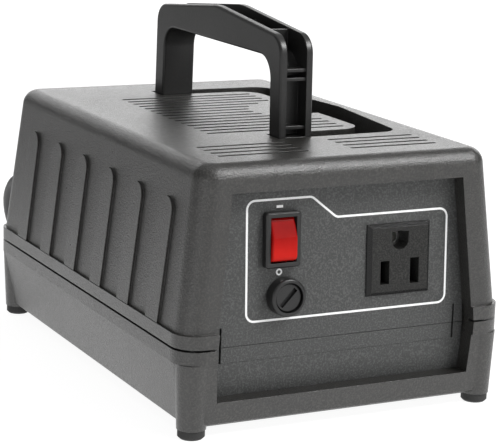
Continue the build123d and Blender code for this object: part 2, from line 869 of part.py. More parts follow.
# The rocker switch: a bezel with a hollow body, and the rocker on two stub pins
tilt_angle = math.radians(rocker_tilt)
rocker_plane = Plane(
    origin=front_panel.from_local_coords(Vector(*switch_place)),
    x_dir=front_panel.y_dir * math.cos(tilt_angle) - front_panel.z_dir * math.sin(tilt_angle),
    z_dir=(1, 0, 0),
)
opening_width = rocker_width + 2 * rocker_gap
opening_height = 2 * (rocker_radius + rocker_gap)
with BuildPart() as switch_body:
    with BuildSketch(front_panel):
        with Locations(switch_place):
            RectangleRounded(bezel_width, bezel_height, bezel_corner)
    extrude(amount=bezel_proud)
    chamfer(switch_body.faces().sort_by(Axis.Y)[0].edges(), bezel_lead)
    with BuildSketch(front_panel):
        with Locations(switch_place):
            Rectangle(switch_body_width, switch_body_height)
    extrude(amount=-switch_body_depth)
    with BuildSketch(front_panel.offset(bezel_proud)):
        with Locations(switch_place):
            Rectangle(opening_width, opening_height)
    extrude(amount=-(bezel_proud + switch_body_depth - switch_wall), mode=Mode.SUBTRACT)
    # the holes for the rocker's stub pins
    with BuildSketch(rocker_plane):
        Circle(rocker_pin_radius + rocker_pin_fit)
    extrude(
        amount=rocker_width / 2 + rocker_pin_length + rocker_pin_fit,
        both=True,
        mode=Mode.SUBTRACT,
    )
switch_body.part.label = "switch_body"
export_step(switch_body.part, "parts/switch_body.step")

# The rocker's section, seen from its end: a ridge over the pivot, two facets and round ends
facet_drop = math.tan(math.radians(rocker_slope))
facet_half = rocker_radius * math.cos(math.asin((rocker_ridge - rocker_radius * facet_drop) / rocker_radius))
facet_low = rocker_ridge - facet_half * facet_drop
end_half = math.hypot(facet_half, facet_low)
back_half = math.sqrt(end_half**2 - rocker_back**2)
with BuildPart() as switch_rocker:
    with BuildSketch(rocker_plane):
        with BuildLine():
            Polyline((-facet_half, facet_low), (0, rocker_ridge), (facet_half, facet_low))
            ThreePointArc((facet_half, facet_low), (end_half, 0), (back_half, -rocker_back))
            Line((back_half, -rocker_back), (-back_half, -rocker_back))
            ThreePointArc((-back_half, -rocker_back), (-end_half, 0), (-facet_half, facet_low))
        make_face()
    extrude(amount=rocker_width / 2, both=True)
    # the ends and the long sides of the key are rounded
    facet_ends = [rocker_plane.from_local_coords(Vector(end * facet_half, facet_low, 0)) for end in (-1, 1)]
    end_edges = [
        edge
        for edge in switch_rocker.edges()
        if min((edge.center() - end).length for end in facet_ends) < rocker_gap
    ]
    fillet(end_edges, rocker_end_rounding)
    ridge = rocker_plane.from_local_coords(Vector(0, rocker_ridge, 0))
    side_edges = [
        edge
        for edge in switch_rocker.edges()
        if abs(abs(edge.center().X - ridge.X) - rocker_width / 2) < rocker_gap
        and rocker_plane.to_local_coords(edge.center()).Y > -rocker_back / 2
    ]
    fillet(side_edges, rocker_side_rounding)
    with BuildSketch(rocker_plane):
        Circle(rocker_pin_radius)
    extrude(amount=rocker_width / 2 + rocker_pin_length, both=True)
switch_rocker.part.label = "switch_rocker"
export_step(switch_rocker.part, "parts/switch_rocker.step")

with BuildPart() as switch_terminals:
    with BuildSketch(front_panel.offset(-switch_body_depth)):
        with Locations(switch_place):
            with GridLocations(0, switch_body_height / 2, 1, 2):
                Rectangle(blade_width, blade_thickness)
    extrude(amount=-blade_length)
switch_terminals.part.label = "switch_terminals"
export_step(switch_terminals.part, "parts/switch_terminals.step")


# The fuse holder: a flanged body, a nut behind the panel, a cap and the drawer it pulls out
carrier_start = fuse_flange_height - fuse_cap_skirt - fuse_cap_gap
bore_depth = carrier_length - carrier_start + fuse_cap_gap
fuse_start = carrier_start - (carrier_length - fuse_length)
with BuildPart() as fuse_holder_body:
    with BuildSketch(front_panel):
        with Locations(fuse_place):
            Circle(fuse_flange_radius)
    extrude(amount=fuse_flange_height)
    # the rim round the cap, rounded outside
    with BuildSketch(front_panel):
        with Locations(fuse_place):
            Circle(fuse_flange_radius)
    extrude(amount=fuse_rim_height)
    fillet(fuse_holder_body.faces().sort_by(Axis.Y)[0].edges(), fuse_rim_rounding)
    with BuildSketch(front_panel.offset(fuse_rim_height)):
        with Locations(fuse_place):
            Circle(fuse_cap_radius + fuse_rim_gap)
    extrude(amount=-(fuse_rim_height - fuse_flange_height), mode=Mode.SUBTRACT)
    with BuildSketch(front_panel):
        with Locations(fuse_place):
            Circle(fuse_body_radius)
    extrude(amount=-fuse_body_length)
    with BuildSketch(front_panel.offset(fuse_flange_height)):
        with Locations(fuse_place):
            Circle(fuse_bore_radius)
    extrude(amount=-(fuse_flange_height + bore_depth), mode=Mode.SUBTRACT)
fuse_holder_body.part.label = "fuse_holder_body"
export_step(fuse_holder_body.part, "parts/fuse_holder_body.step")

with BuildPart() as fuse_holder_nut:
    with BuildSketch(front_panel.offset(-panel_thickness)):
        with Locations(fuse_place):
            RegularPolygon(fuse_nut_flats / 2, side_count=6, major_radius=False)
            Circle(fuse_body_radius, mode=Mode.SUBTRACT)
    extrude(amount=-fuse_nut_height)
fuse_holder_nut.part.label = "fuse_holder_nut"
export_step(fuse_holder_nut.part, "parts/fuse_holder_nut.step")

with BuildPart() as fuse_holder_terminals:
    with BuildSketch(front_panel.offset(-fuse_body_length)):
        with Locations(fuse_place):
            Rectangle(blade_width, blade_thickness)
    extrude(amount=-blade_length)
    side_tab_depth = fuse_body_length * 2 / 3
    with BuildSketch(front_panel.offset(-side_tab_depth)):
        with Locations((fuse_place[0], fuse_place[1] - fuse_body_radius - blade_length / 2)):
            Rectangle(blade_width, blade_length)
    extrude(amount=-blade_thickness)
fuse_holder_terminals.part.label = "fuse_holder_terminals"
export_step(fuse_holder_terminals.part, "parts/fuse_holder_terminals.step")

with BuildPart() as fuse_cap:
    with BuildSketch(front_panel.offset(fuse_flange_height + fuse_cap_gap)):
        with Locations(fuse_place):
            Circle(fuse_cap_radius)
    extrude(amount=fuse_cap_proud - fuse_cap_gap)
    chamfer(fuse_cap.faces().sort_by(Axis.Y)[0].edges(), fuse_cap_bevel)
    with BuildSketch(front_panel.offset(fuse_flange_height + fuse_cap_gap)):
        with Locations(fuse_place):
            Circle(carrier_radius)
    extrude(amount=-fuse_cap_skirt)
    with BuildSketch(front_panel.offset(fuse_flange_height + fuse_cap_proud)):
        with Locations(Location((*fuse_place, 0), (0, 0, fuse_slot_angle))):
            Rectangle(fuse_slot_length, fuse_slot_width)
    extrude(amount=-fuse_slot_depth, mode=Mode.SUBTRACT)
    with BuildSketch(front_panel.offset(fuse_flange_height + fuse_cap_gap - fuse_cap_skirt)):
        with Locations(fuse_place):
            Circle(fuse_stub_radius + fuse_stub_fit)
    extrude(amount=fuse_stub_length + fuse_cap_gap, mode=Mode.SUBTRACT)
fuse_cap.part.label = "fuse_cap"
export_step(fuse_cap.part, "parts/fuse_cap.step")

with BuildPart() as fuse_carrier:
    with BuildSketch(front_panel.offset(carrier_start)):
        with Locations(fuse_place):
            Circle(carrier_radius)
    extrude(amount=-carrier_length)
    with BuildSketch(front_panel.offset(carrier_start)):
        with Locations(fuse_place):
            Circle(fuse_stub_radius)
    extrude(amount=fuse_stub_length)
    with BuildSketch(front_panel.offset(fuse_start)):
        with Locations(fuse_place):
            Circle(fuse_radius + fuse_seat_gap)
        with Locations((fuse_place[0], fuse_place[1] + carrier_radius)):
            Rectangle(2 * fuse_trough_half, 2 * carrier_radius)
    extrude(amount=-carrier_length, mode=Mode.SUBTRACT)
fuse_carrier.part.label = "fuse_carrier"
export_step(fuse_carrier.part, "parts/fuse_carrier.step")

glass_length = fuse_length - 2 * fuse_end_length
with BuildPart() as fuse_tube:
    with BuildSketch(front_panel.offset(fuse_start - fuse_end_length)):
        with Locations(fuse_place):
            Circle(fuse_glass_radius)
    extrude(amount=-glass_length)
fuse_tube.part.label = "fuse_tube"
export_step(fuse_tube.part, "parts/fuse_tube.step")

with BuildPart() as fuse_end_caps:
    for start in (fuse_start, fuse_start - fuse_end_length - glass_length):
        with BuildSketch(front_panel.offset(start)):
            with Locations(fuse_place):
                Circle(fuse_radius)
        extrude(amount=-fuse_end_length)
fuse_end_caps.part.label = "fuse_end_caps"
export_step(fuse_end_caps.part, "parts/fuse_end_caps.step")


# The output socket: two blade slots under a round ground hole with a flat, contacts behind them
blade_place = place(front_panel, socket_x, blade_slot_z)
ground_place = (socket_place[0], blade_place[1] + ground_above_blades)
pocket_height = neutral_slot_height + contact_pocket_extra
with BuildPart() as socket_body:
    with BuildSketch(front_panel):
        with Locations(socket_place):
            Rectangle(socket_size, socket_size)
    extrude(amount=socket_proud)
    chamfer(socket_body.faces().sort_by(Axis.Y)[0].edges(), socket_chamfer)
    with BuildSketch(front_panel):
        with Locations(socket_place):
            Rectangle(socket_body_size, socket_body_size)
    extrude(amount=-socket_body_depth)
    with BuildSketch(front_panel.offset(socket_proud)):
        with Locations((blade_place[0] - blade_spacing / 2, blade_place[1])):
            Rectangle(blade_slot_width, live_slot_height)
        with Locations((blade_place[0] + blade_spacing / 2, blade_place[1])):
            Rectangle(blade_slot_width, neutral_slot_height)
        with Locations(ground_place):
            Circle(ground_hole_width / 2)
        # the flat end of the hole is at its top
        flat_height = ground_hole_height - ground_hole_width / 2
        with Locations((ground_place[0], ground_place[1] + flat_height / 2)):
            Rectangle(ground_hole_width, flat_height)
    extrude(amount=-(socket_proud + blade_slot_depth), mode=Mode.SUBTRACT)
    # pockets for the contacts, open at the back
    with BuildSketch(front_panel.offset(-socket_face_thickness)):
        with Locations(blade_place):
            with GridLocations(blade_spacing, 0, 2, 1):
                Rectangle(contact_pocket_width, pocket_height)
        with Locations(ground_place):
            Circle(ground_sleeve_radius)
    extrude(amount=-socket_body_depth, mode=Mode.SUBTRACT)
socket_body.part.label = "socket_body"
export_step(socket_body.part, "parts/socket_body.step")

contact_names = ((-1, "socket_contact_live"), (1, "socket_contact_neutral"))
for side, contact_name in contact_names:
    with BuildPart() as socket_contact:
        with BuildSketch(front_panel.offset(-socket_face_thickness - contact_setback)):
            with Locations((blade_place[0] + side * blade_spacing / 2, blade_place[1])):
                with GridLocations(blade_slot_width + contact_thickness, 0, 2, 1):
                    Rectangle(contact_thickness, live_slot_height)
        extrude(amount=-contact_length)
        with BuildSketch(front_panel.offset(-socket_face_thickness - contact_setback - contact_length)):
            with Locations((blade_place[0] + side * blade_spacing / 2, blade_place[1])):
                Rectangle(contact_pocket_width, live_slot_height)
        extrude(amount=-contact_thickness)
        with BuildSketch(front_panel.offset(-socket_face_thickness - contact_setback - contact_length)):
            with Locations((blade_place[0] + side * blade_spacing / 2, blade_place[1])):
                Rectangle(contact_thickness, blade_width)
        extrude(amount=-(contact_thickness + contact_tail))
    socket_contact.part.label = contact_name
    export_step(socket_contact.part, f"parts/{contact_name}.step")

with BuildPart() as socket_contact_ground:
    with BuildSketch(front_panel.offset(-socket_face_thickness - contact_setback)):
        with Locations(ground_place):
            Circle(ground_sleeve_radius)
            Circle(ground_sleeve_bore, mode=Mode.SUBTRACT)
    extrude(amount=-contact_length)
    with BuildSketch(front_panel.offset(-socket_face_thickness - contact_setback - contact_length)):
        with Locations(ground_place):
            Circle(ground_sleeve_radius)
    extrude(amount=-contact_thickness)
    with BuildSketch(front_panel.offset(-socket_face_thickness - contact_setback - contact_length)):
        with Locations(ground_place):
            Rectangle(blade_width, contact_thickness)
    extrude(amount=-(contact_thickness + contact_tail))
socket_contact_ground.part.label = "socket_contact_ground"
export_step(socket_contact_ground.part, "parts/socket_contact_ground.step")


# The transformer: a stacked core, a bobbin with two windings, brackets, bolts and nuts
core_mid = core_bottom + core_height / 2
core_window_width = (core_width - 4 * core_limb) / 2
core_window_height = core_height - 2 * core_limb
bolt_x = core_width / 2 - core_bolt_inset
bolt_z = core_height / 2 - core_bolt_inset
core_plane = Plane.XZ.offset(-core_y)
with BuildPart() as transformer_core:
    with BuildSketch(core_plane):
        with Locations((0, core_mid)):
            Rectangle(core_width, core_height)
            with GridLocations(2 * core_limb + core_window_width, 0, 2, 1):
                Rectangle(core_window_width, core_window_height, mode=Mode.SUBTRACT)
            with GridLocations(2 * bolt_x, 2 * bolt_z, 2, 2):
                Circle(core_bolt_radius + core_bolt_clearance, mode=Mode.SUBTRACT)
    extrude(amount=core_stack / 2, both=True)
transformer_core.part.label = "transformer_core"
export_step(transformer_core.part, "parts/transformer_core.step")

tube_x = core_limb + bobbin_fit + bobbin_tube
tube_y = core_stack / 2 + bobbin_fit + bobbin_tube
bobbin_low = core_mid - core_window_height / 2 + core_window_clearance
bobbin_height = core_window_height - 2 * core_window_clearance
flange_x = core_limb + core_window_width - core_window_clearance
flange_y = tube_y + primary_build + secondary_build + 2 * winding_tape
with BuildPart() as bobbin:
    with BuildSketch(Plane.XY.offset(bobbin_low)):
        with Locations((0, core_y)):
            Rectangle(2 * tube_x, 2 * tube_y)
    extrude(amount=bobbin_height)
    upper_flange = bobbin_low + bobbin_height - bobbin_flange
    with BuildSketch(Plane.XY.offset(bobbin_low), Plane.XY.offset(upper_flange)):
        with Locations((0, core_y)):
            Rectangle(2 * flange_x, 2 * flange_y)
    extrude(amount=bobbin_flange)
    with BuildSketch(Plane.XY.offset(bobbin_low)):
        with Locations((0, core_y)):
            Rectangle(2 * (core_limb + bobbin_fit), core_stack + 2 * bobbin_fit)
    extrude(amount=bobbin_height, mode=Mode.SUBTRACT)
bobbin.part.label = "bobbin"
export_step(bobbin.part, "parts/bobbin.step")

winding_low = bobbin_low + bobbin_flange + winding_end_gap
winding_height = bobbin_height - 2 * (bobbin_flange + winding_end_gap)
with BuildPart() as primary_winding:
    with BuildSketch(Plane.XY.offset(winding_low)):
        with Locations((0, core_y)):
            RectangleRounded(2 * (tube_x + primary_build), 2 * (tube_y + primary_build), primary_build)
            Rectangle(2 * tube_x, 2 * tube_y, mode=Mode.SUBTRACT)
    extrude(amount=winding_height)
primary_winding.part.label = "primary_winding"
export_step(primary_winding.part, "parts/primary_winding.step")

second_x = tube_x + primary_build + winding_tape
second_y = tube_y + primary_build + winding_tape
with BuildPart() as secondary_winding:
    with BuildSketch(Plane.XY.offset(winding_low)):
        with Locations((0, core_y)):
            RectangleRounded(
                2 * (second_x + secondary_build),
                2 * (second_y + secondary_build),
                primary_build + winding_tape + secondary_build,
            )
            RectangleRounded(2 * second_x, 2 * second_y, primary_build + winding_tape, mode=Mode.SUBTRACT)
    extrude(amount=winding_height)
secondary_winding.part.label = "secondary_winding"
export_step(secondary_winding.part, "parts/secondary_winding.step")

with BuildPart() as core_brackets:
    for side in (-1, 1):
        face_y = core_y + side * core_stack / 2
        with BuildSketch(Plane.YZ):
            Polygon(
                (face_y, core_bottom),
                (face_y + side * bracket_foot, core_bottom),
                (face_y + side * bracket_foot, core_bottom + bracket_thickness),
                (face_y + side * bracket_thickness, core_bottom + bracket_thickness),
                (face_y + side * bracket_thickness, core_bottom + bracket_leg),
                (face_y, core_bottom + bracket_leg),
                align=None,
            )
        extrude(amount=rail_width / 2, both=True)
    with BuildSketch(Plane.XZ):
        with Locations((0, core_mid - bolt_z)):
            with GridLocations(2 * bolt_x, 0, 2, 1):
                Circle(core_bolt_radius + core_bolt_clearance)
    extrude(amount=half_depth, both=True, mode=Mode.SUBTRACT)
    with BuildSketch(Plane.XY.offset(core_bottom)):
        with Locations((0, core_y)):
            with GridLocations(2 * bracket_screw_x, core_stack + 2 * bracket_screw_out, 2, 2):
                Circle(bracket_screw_radius)
    extrude(amount=bracket_thickness, mode=Mode.SUBTRACT)
core_brackets.part.label = "core_brackets"
export_step(core_brackets.part, "parts/core_brackets.step")

with BuildPart() as bracket_screws:
    with BuildSketch(Plane.XY.offset(core_bottom + bracket_thickness)):
        with Locations((0, core_y)):
            with GridLocations(2 * bracket_screw_x, core_stack + 2 * bracket_screw_out, 2, 2):
                Circle(bracket_screw_head_radius)
    extrude(amount=bracket_screw_head_height)
    with BuildSketch(Plane.XY.offset(core_bottom + bracket_thickness)):
        with Locations((0, core_y)):
            with GridLocations(2 * bracket_screw_x, core_stack + 2 * bracket_screw_out, 2, 2):
                Circle(bracket_screw_radius)
    extrude(amount=-(bracket_thickness + bracket_screw_depth))
bracket_screws.part.label = "bracket_screws"
export_step(bracket_screws.part, "parts/bracket_screws.step")

# the lower bolts pass the brackets' legs, the upper ones only the core
bolt_rows = ((-bolt_z, bracket_thickness), (bolt_z, 0))
with BuildPart() as core_bolts:
    for row_z, leg in bolt_rows:
        head_face = core_y - core_stack / 2 - leg
        with BuildSketch(Plane.XZ.offset(-head_face)):
            with Locations((0, core_mid + row_z)):
                with GridLocations(2 * bolt_x, 0, 2, 1):
                    Circle(bolt_head_radius)
        extrude(amount=bolt_head_height)
        with BuildSketch(Plane.XZ.offset(-head_face)):
            with Locations((0, core_mid + row_z)):
                with GridLocations(2 * bolt_x, 0, 2, 1):
                    Circle(core_bolt_radius)
        extrude(amount=-(core_stack + 2 * leg + nut_height + bolt_end))
core_bolts.part.label = "core_bolts"
export_step(core_bolts.part, "parts/core_bolts.step")

with BuildPart() as core_nuts:
    for row_z, leg in bolt_rows:
        nut_face = core_y + core_stack / 2 + leg
        with BuildSketch(Plane.XZ.offset(-nut_face)):
            with Locations((0, core_mid + row_z)):
                with GridLocations(2 * bolt_x, 0, 2, 1):
                    RegularPolygon(nut_flats / 2, side_count=6, major_radius=False)
                    Circle(core_bolt_radius, mode=Mode.SUBTRACT)
        extrude(amount=-nut_height)
core_nuts.part.label = "core_nuts"
export_step(core_nuts.part, "parts/core_nuts.step")

cutout_face = core_y - second_y - secondary_build
with BuildPart() as thermal_cutout:
    with BuildSketch(Plane.XZ.offset(-cutout_face)):
        with Locations((0, core_mid)):
            RectangleRounded(cutout_length, cutout_width, cutout_height / 4)
    extrude(amount=cutout_height)
thermal_cutout.part.label = "thermal_cutout"
export_step(thermal_cutout.part, "parts/thermal_cutout.step")


# The strain relief on the rear panel: a neck through the panel, a flange and a ribbed sleeve
gland_plane = panel_planes[1]
gland_axis = gland_plane.z_dir
gland_reach = gland_body_length + gland_sleeve_length
with BuildPart() as strain_relief:
    with BuildSketch(gland_plane):
        with Locations(gland_place):
            Circle(gland_body_radius)
    extrude(amount=gland_body_length)
    fillet(strain_relief.faces().sort_by(Axis.Y)[-1].edges(), bottom_rounding)
    with BuildSketch(gland_plane.offset(gland_body_length)):
        with Locations(gland_place):
            Circle(gland_sleeve_radius)
    with BuildSketch(gland_plane.offset(gland_reach)):
        with Locations(gland_place):
            Circle(gland_tip_radius)
    loft(ruled=True)
    groove_pitch = gland_sleeve_length / (gland_groove_count + 1)
    for groove in range(gland_groove_count):
        groove_start = gland_body_length + groove_pitch * (groove + 1) - gland_groove_width / 2
        share = groove_pitch * (groove + 1) / gland_sleeve_length
        outer = gland_sleeve_radius + (gland_tip_radius - gland_sleeve_radius) * share
        with BuildSketch(gland_plane.offset(groove_start)):
            with Locations(gland_place):
                Circle(gland_body_radius)
                Circle(outer - gland_groove_depth, mode=Mode.SUBTRACT)
        extrude(amount=gland_groove_width, mode=Mode.SUBTRACT)
    with BuildSketch(gland_plane):
        with Locations(gland_place):
            Circle(gland_neck_radius)
    extrude(amount=-(panel_thickness + gland_tail))
    # the flange that locks it behind the panel
    with BuildSketch(gland_plane.offset(-panel_thickness)):
        with Locations(gland_place):
            Circle(gland_body_radius)
    extrude(amount=-gland_tail / 4)
strain_relief.part.label = "strain_relief"
export_step(strain_relief.part, "parts/strain_relief.step")


# The cord: down from the strain relief, round to the right and into a coil behind the case
cord_radius = cord_diameter / 2
cord_low = cord_radius + coil_height_above_floor
start_angle = math.radians(coil_start_angle)
coil_start = Vector(
    coil_x + coil_radius * math.cos(start_angle),
    coil_y + coil_radius * math.sin(start_angle),
    cord_low,
)
coil_heading = Vector(math.sin(start_angle), -math.cos(start_angle), 0)
gland_tip = gland_plane.from_local_coords(Vector(*gland_place)) + gland_axis * gland_reach
cord_points = [
    gland_tip,
    gland_tip + gland_axis * cord_straight,
    Vector(-42.0, 153.0, 36.5),
    Vector(-33.5, 162.5, 16.0),
    Vector(-17.0, 166.5, 5.2),
    coil_start - coil_heading * (cord_diameter + cord_straight / 2),
    coil_start - coil_heading * cord_diameter,
]
cord_bend_share = 0.45
cord_radii = []
for before, corner, after in zip(cord_points, cord_points[1:], cord_points[2:]):
    shorter = min((corner - before).length, (after - corner).length)
    turn = math.radians((corner - before).get_angle(after - corner))
    cord_radii.append(cord_bend_share * shorter / math.tan(turn / 2))
print("cord radii", [round(radius, 1) for radius in cord_radii])
with BuildPart() as cord_tube:
    with BuildLine() as cord_route:
        FilletPolyline(*cord_points, radius=cord_radii)
    with BuildSketch(Plane(origin=gland_tip, z_dir=gland_axis)):
        Circle(cord_radius)
    sweep()
cord_length = cord_route.wires()[0].length
cord_section = math.pi * cord_radius**2
tube_ratio = cord_tube.part.volume / (cord_length * cord_section)
print("cord tube", round(cord_length, 1), "volume ratio", round(tube_ratio, 4))
cord_tube.part.label = "cord_tube"
export_step(cord_tube.part, "parts/cord_tube.step")


def turned(heading):
    """A level heading turned a quarter to the right."""
    return Vector(heading.Y, -heading.X, 0)


# Half turns: inwards on the floor, one that climbs a layer, then outwards on top of the first layer
climb_radius = coil_radius - coil_layer_turns * coil_pitch
half_turns = [(coil_radius - half * coil_pitch / 2, 0) for half in range(2 * coil_layer_turns)]
half_turns.append((climb_radius, coil_pitch))
half_turns += [(radius, 0) for radius, climb in reversed(half_turns[1:-1])]
checks_in_half_turn = 24
coil_points = []
with BuildPart() as cord_coil:
    with BuildLine() as coil_route:
        place_now = coil_start
        heading = coil_heading
        Line(place_now - heading * cord_diameter, place_now)
        for radius, climb in half_turns:
            tilt = math.asin(climb / (2 * radius))
            inward = turned(heading) * math.cos(tilt) + Vector(0, 0, math.sin(tilt))
            centre = place_now + inward * radius
            place_next = centre + inward * radius
            ThreePointArc(place_now, centre + heading * radius, place_next)
            for step in range(checks_in_half_turn):
                angle = math.pi * step / checks_in_half_turn
                spoke = heading * math.sin(angle) - inward * math.cos(angle)
                coil_points.append(centre + spoke * radius)
            place_now = place_next
            heading = -heading
        # a last quarter turn brings the end round to the plug
        quarter_radius = coil_radius
        inward = turned(heading)
        centre = place_now + inward * quarter_radius
        arc_share = math.sqrt(2) / 2
        ThreePointArc(
            place_now,
            centre + (heading - inward) * quarter_radius * arc_share,
            centre + heading * quarter_radius,
        )
        for step in range(checks_in_half_turn // 2 + 1):
            angle = math.pi * step / checks_in_half_turn
            spoke = heading * math.sin(angle) - inward * math.cos(angle)
            coil_points.append(centre + spoke * quarter_radius)
        place_now = centre + heading * quarter_radius
        heading = inward
        coil_end = place_now + heading * cord_diameter
        Line(place_now, coil_end)
    with BuildSketch(Plane(origin=coil_start - coil_heading * cord_diameter, z_dir=coil_heading)):
        Circle(cord_radius)
    sweep()
coil_length = coil_route.wires()[0].length
least_gap = min(
    (a - b).length
    for i, a in enumerate(coil_points)
    for b in coil_points[i + checks_in_half_turn // 2 :]
) - cord_diameter
coil_ratio = cord_coil.part.volume / (coil_length * cord_section)
print("coil", round(coil_length, 1), "volume ratio", round(coil_ratio, 4))
print("least gap to itself", round(least_gap, 2), "wanted over", least_coil_gap)
cord_coil.part.label = "cord_coil"
export_step(cord_coil.part, "parts/cord_coil.step")

# The tail bends towards the front, so that the plug lies beside the case
plug_heading = Vector(0, -1, 0)
tail_corner = coil_end + heading * cord_tail_lead
tail_end = tail_corner + plug_heading * cord_tail_drop
with BuildPart() as cord_tail:
    with BuildLine() as tail_route:
        FilletPolyline(coil_end, tail_corner, tail_end, radius=cord_tail_bend)
    with BuildSketch(Plane(origin=coil_end, z_dir=heading)):
        Circle(cord_radius)
    sweep()
tail_length = tail_route.wires()[0].length
cord_tail.part.label = "cord_tail"
export_step(cord_tail.part, "parts/cord_tail.step")
print("tail volume ratio", round(cord_tail.part.volume / (tail_length * cord_section), 4))
print("cord in all", round(cord_length + coil_length + tail_length, 1))


# The mains plug, lying on its cover with its pins up
plug_floor = tail_end.Z - plug_thickness / 2
plug_plane = Plane(origin=(tail_end.X, tail_end.Y, plug_floor), x_dir=plug_heading, z_dir=(0, 0, 1))
cover_thickness = plug_thickness - plug_base_thickness
entry_half = plug_width / 2 - plug_taper


def plug_outline():
    """The plug seen along its pins: narrower where the cord enters."""
    with BuildSketch() as outline:
        with BuildLine():
            FilletPolyline(
                (plug_sleeve_length, -entry_half),
                (plug_sleeve_length + plug_length, -plug_width / 2),
                (plug_sleeve_length + plug_length, plug_width / 2),
                (plug_sleeve_length, entry_half),
                radius=plug_corner,
                close=True,
            )
        make_face()
    return outline.sketch


with BuildPart() as plug_cover:
    with BuildSketch(plug_plane):
        add(plug_outline())
    extrude(amount=cover_thickness)
    fillet(plug_cover.faces().sort_by(Axis.Z)[0].edges(), plug_corner / 4)
    with BuildSketch(Plane(origin=tail_end, z_dir=plug_heading)):
        Circle(plug_sleeve_radius)
    extrude(amount=plug_sleeve_length + plug_corner)
    with BuildSketch(plug_plane.offset(cover_thickness)):
        with Locations((plug_sleeve_length + plug_length / 2, 0)):
            Rectangle(plug_length, plug_width)
    extrude(amount=plug_base_thickness, mode=Mode.SUBTRACT)
plug_cover.part.label = "plug_cover"
export_step(plug_cover.part, "parts/plug_cover.step")

pins_x = plug_sleeve_length + plug_pins_from_entry
plug_top = plug_plane.offset(plug_thickness)
with BuildPart() as plug_base:
    with BuildSketch(plug_plane.offset(cover_thickness)):
        add(plug_outline())
    extrude(amount=plug_base_thickness)
    with BuildSketch(plug_top):
        with Locations((pins_x, 0)):
            with GridLocations(0, plug_pin_spacing, 1, 2):
                Rectangle(line_pin_depth, line_pin_width)
        with Locations((pins_x + earth_pin_offset, 0)):
            Rectangle(earth_pin_depth, earth_pin_width)
    extrude(amount=-pin_root, mode=Mode.SUBTRACT)
plug_base.part.label = "plug_base"
export_step(plug_base.part, "parts/plug_base.step")

plug_pins = (
    ("plug_pin_live", 0, -plug_pin_spacing / 2, line_pin_depth, line_pin_width, line_pin_length),
    ("plug_pin_neutral", 0, plug_pin_spacing / 2, line_pin_depth, line_pin_width, line_pin_length),
    ("plug_pin_earth", earth_pin_offset, 0, earth_pin_depth, earth_pin_width, earth_pin_length),
)
for pin_name, along, across, pin_depth, pin_width, pin_length in plug_pins:
    with BuildPart() as plug_pin:
        with BuildSketch(plug_top.offset(-pin_root)):
            with Locations((pins_x + along, across)):
                Rectangle(pin_depth, pin_width)
        extrude(amount=pin_root + pin_length)
        chamfer(plug_pin.faces().sort_by(Axis.Z)[-1].edges(), bottom_rounding)
    plug_pin.part.label = pin_name
    export_step(plug_pin.part, f"parts/{pin_name}.step")
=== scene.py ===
import bpy
import math
import numpy as np
from mathutils import Matrix, Vector


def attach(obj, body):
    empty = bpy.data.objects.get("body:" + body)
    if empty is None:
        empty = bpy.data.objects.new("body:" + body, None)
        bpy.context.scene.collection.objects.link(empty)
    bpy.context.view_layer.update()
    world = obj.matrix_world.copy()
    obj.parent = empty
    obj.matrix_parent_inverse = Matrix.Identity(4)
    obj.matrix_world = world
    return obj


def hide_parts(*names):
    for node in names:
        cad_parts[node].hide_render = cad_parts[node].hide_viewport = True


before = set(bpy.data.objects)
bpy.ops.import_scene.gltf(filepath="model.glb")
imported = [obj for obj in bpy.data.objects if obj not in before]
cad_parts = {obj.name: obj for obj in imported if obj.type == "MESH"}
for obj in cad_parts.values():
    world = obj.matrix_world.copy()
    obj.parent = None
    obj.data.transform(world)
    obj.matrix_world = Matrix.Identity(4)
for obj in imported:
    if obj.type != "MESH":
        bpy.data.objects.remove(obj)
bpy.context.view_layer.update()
print("frame loaded:", len(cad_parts), "nodes")

mm = 0.001

# The camera stands where the photograph was taken: to the front left, a little above the case
cameraSettings = {
    "place": (-339.9, -673.5, 226.5),  # mm
    "azimuth": 27.23,  # degrees to the right of +Y
    "elevation": 12.82,  # degrees looking down
    "roll": 1.89,
    "focal": 137.6,  # mm on the sensor
    "sensor": 36,  # mm wide
    "nearest": 0.05,  # metres
}


def setCamera(settings):
    azimuth, elevation, roll = (math.radians(settings[key]) for key in ("azimuth", "elevation", "roll"))
    level = math.cos(elevation)
    forward = Vector((math.sin(azimuth) * level, math.cos(azimuth) * level, -math.sin(elevation)))
    right = forward.cross(Vector((0, 0, 1))).normalized()
    up = right.cross(forward)
    rolledRight = right * math.cos(roll) + up * math.sin(roll)
    rolledUp = up * math.cos(roll) - right * math.sin(roll)
    data = bpy.data.cameras.new("photoCamera")
    data.sensor_width = settings["sensor"]
    data.lens = settings["focal"]
    data.clip_start = settings["nearest"]
    camera = bpy.data.objects.new("photoCamera", data)
    bpy.context.collection.objects.link(camera)
    axes = Matrix((rolledRight, rolledUp, -forward)).transposed()
    camera.matrix_world = Matrix.Translation(Vector(settings["place"]) * mm) @ axes.to_4x4()
    bpy.context.scene.camera = camera


setCamera(cameraSettings)
print("camera set")

noiseMean = 0.5  # noise runs from 0 to 1
bevelSamples = 6  # for rounded edges


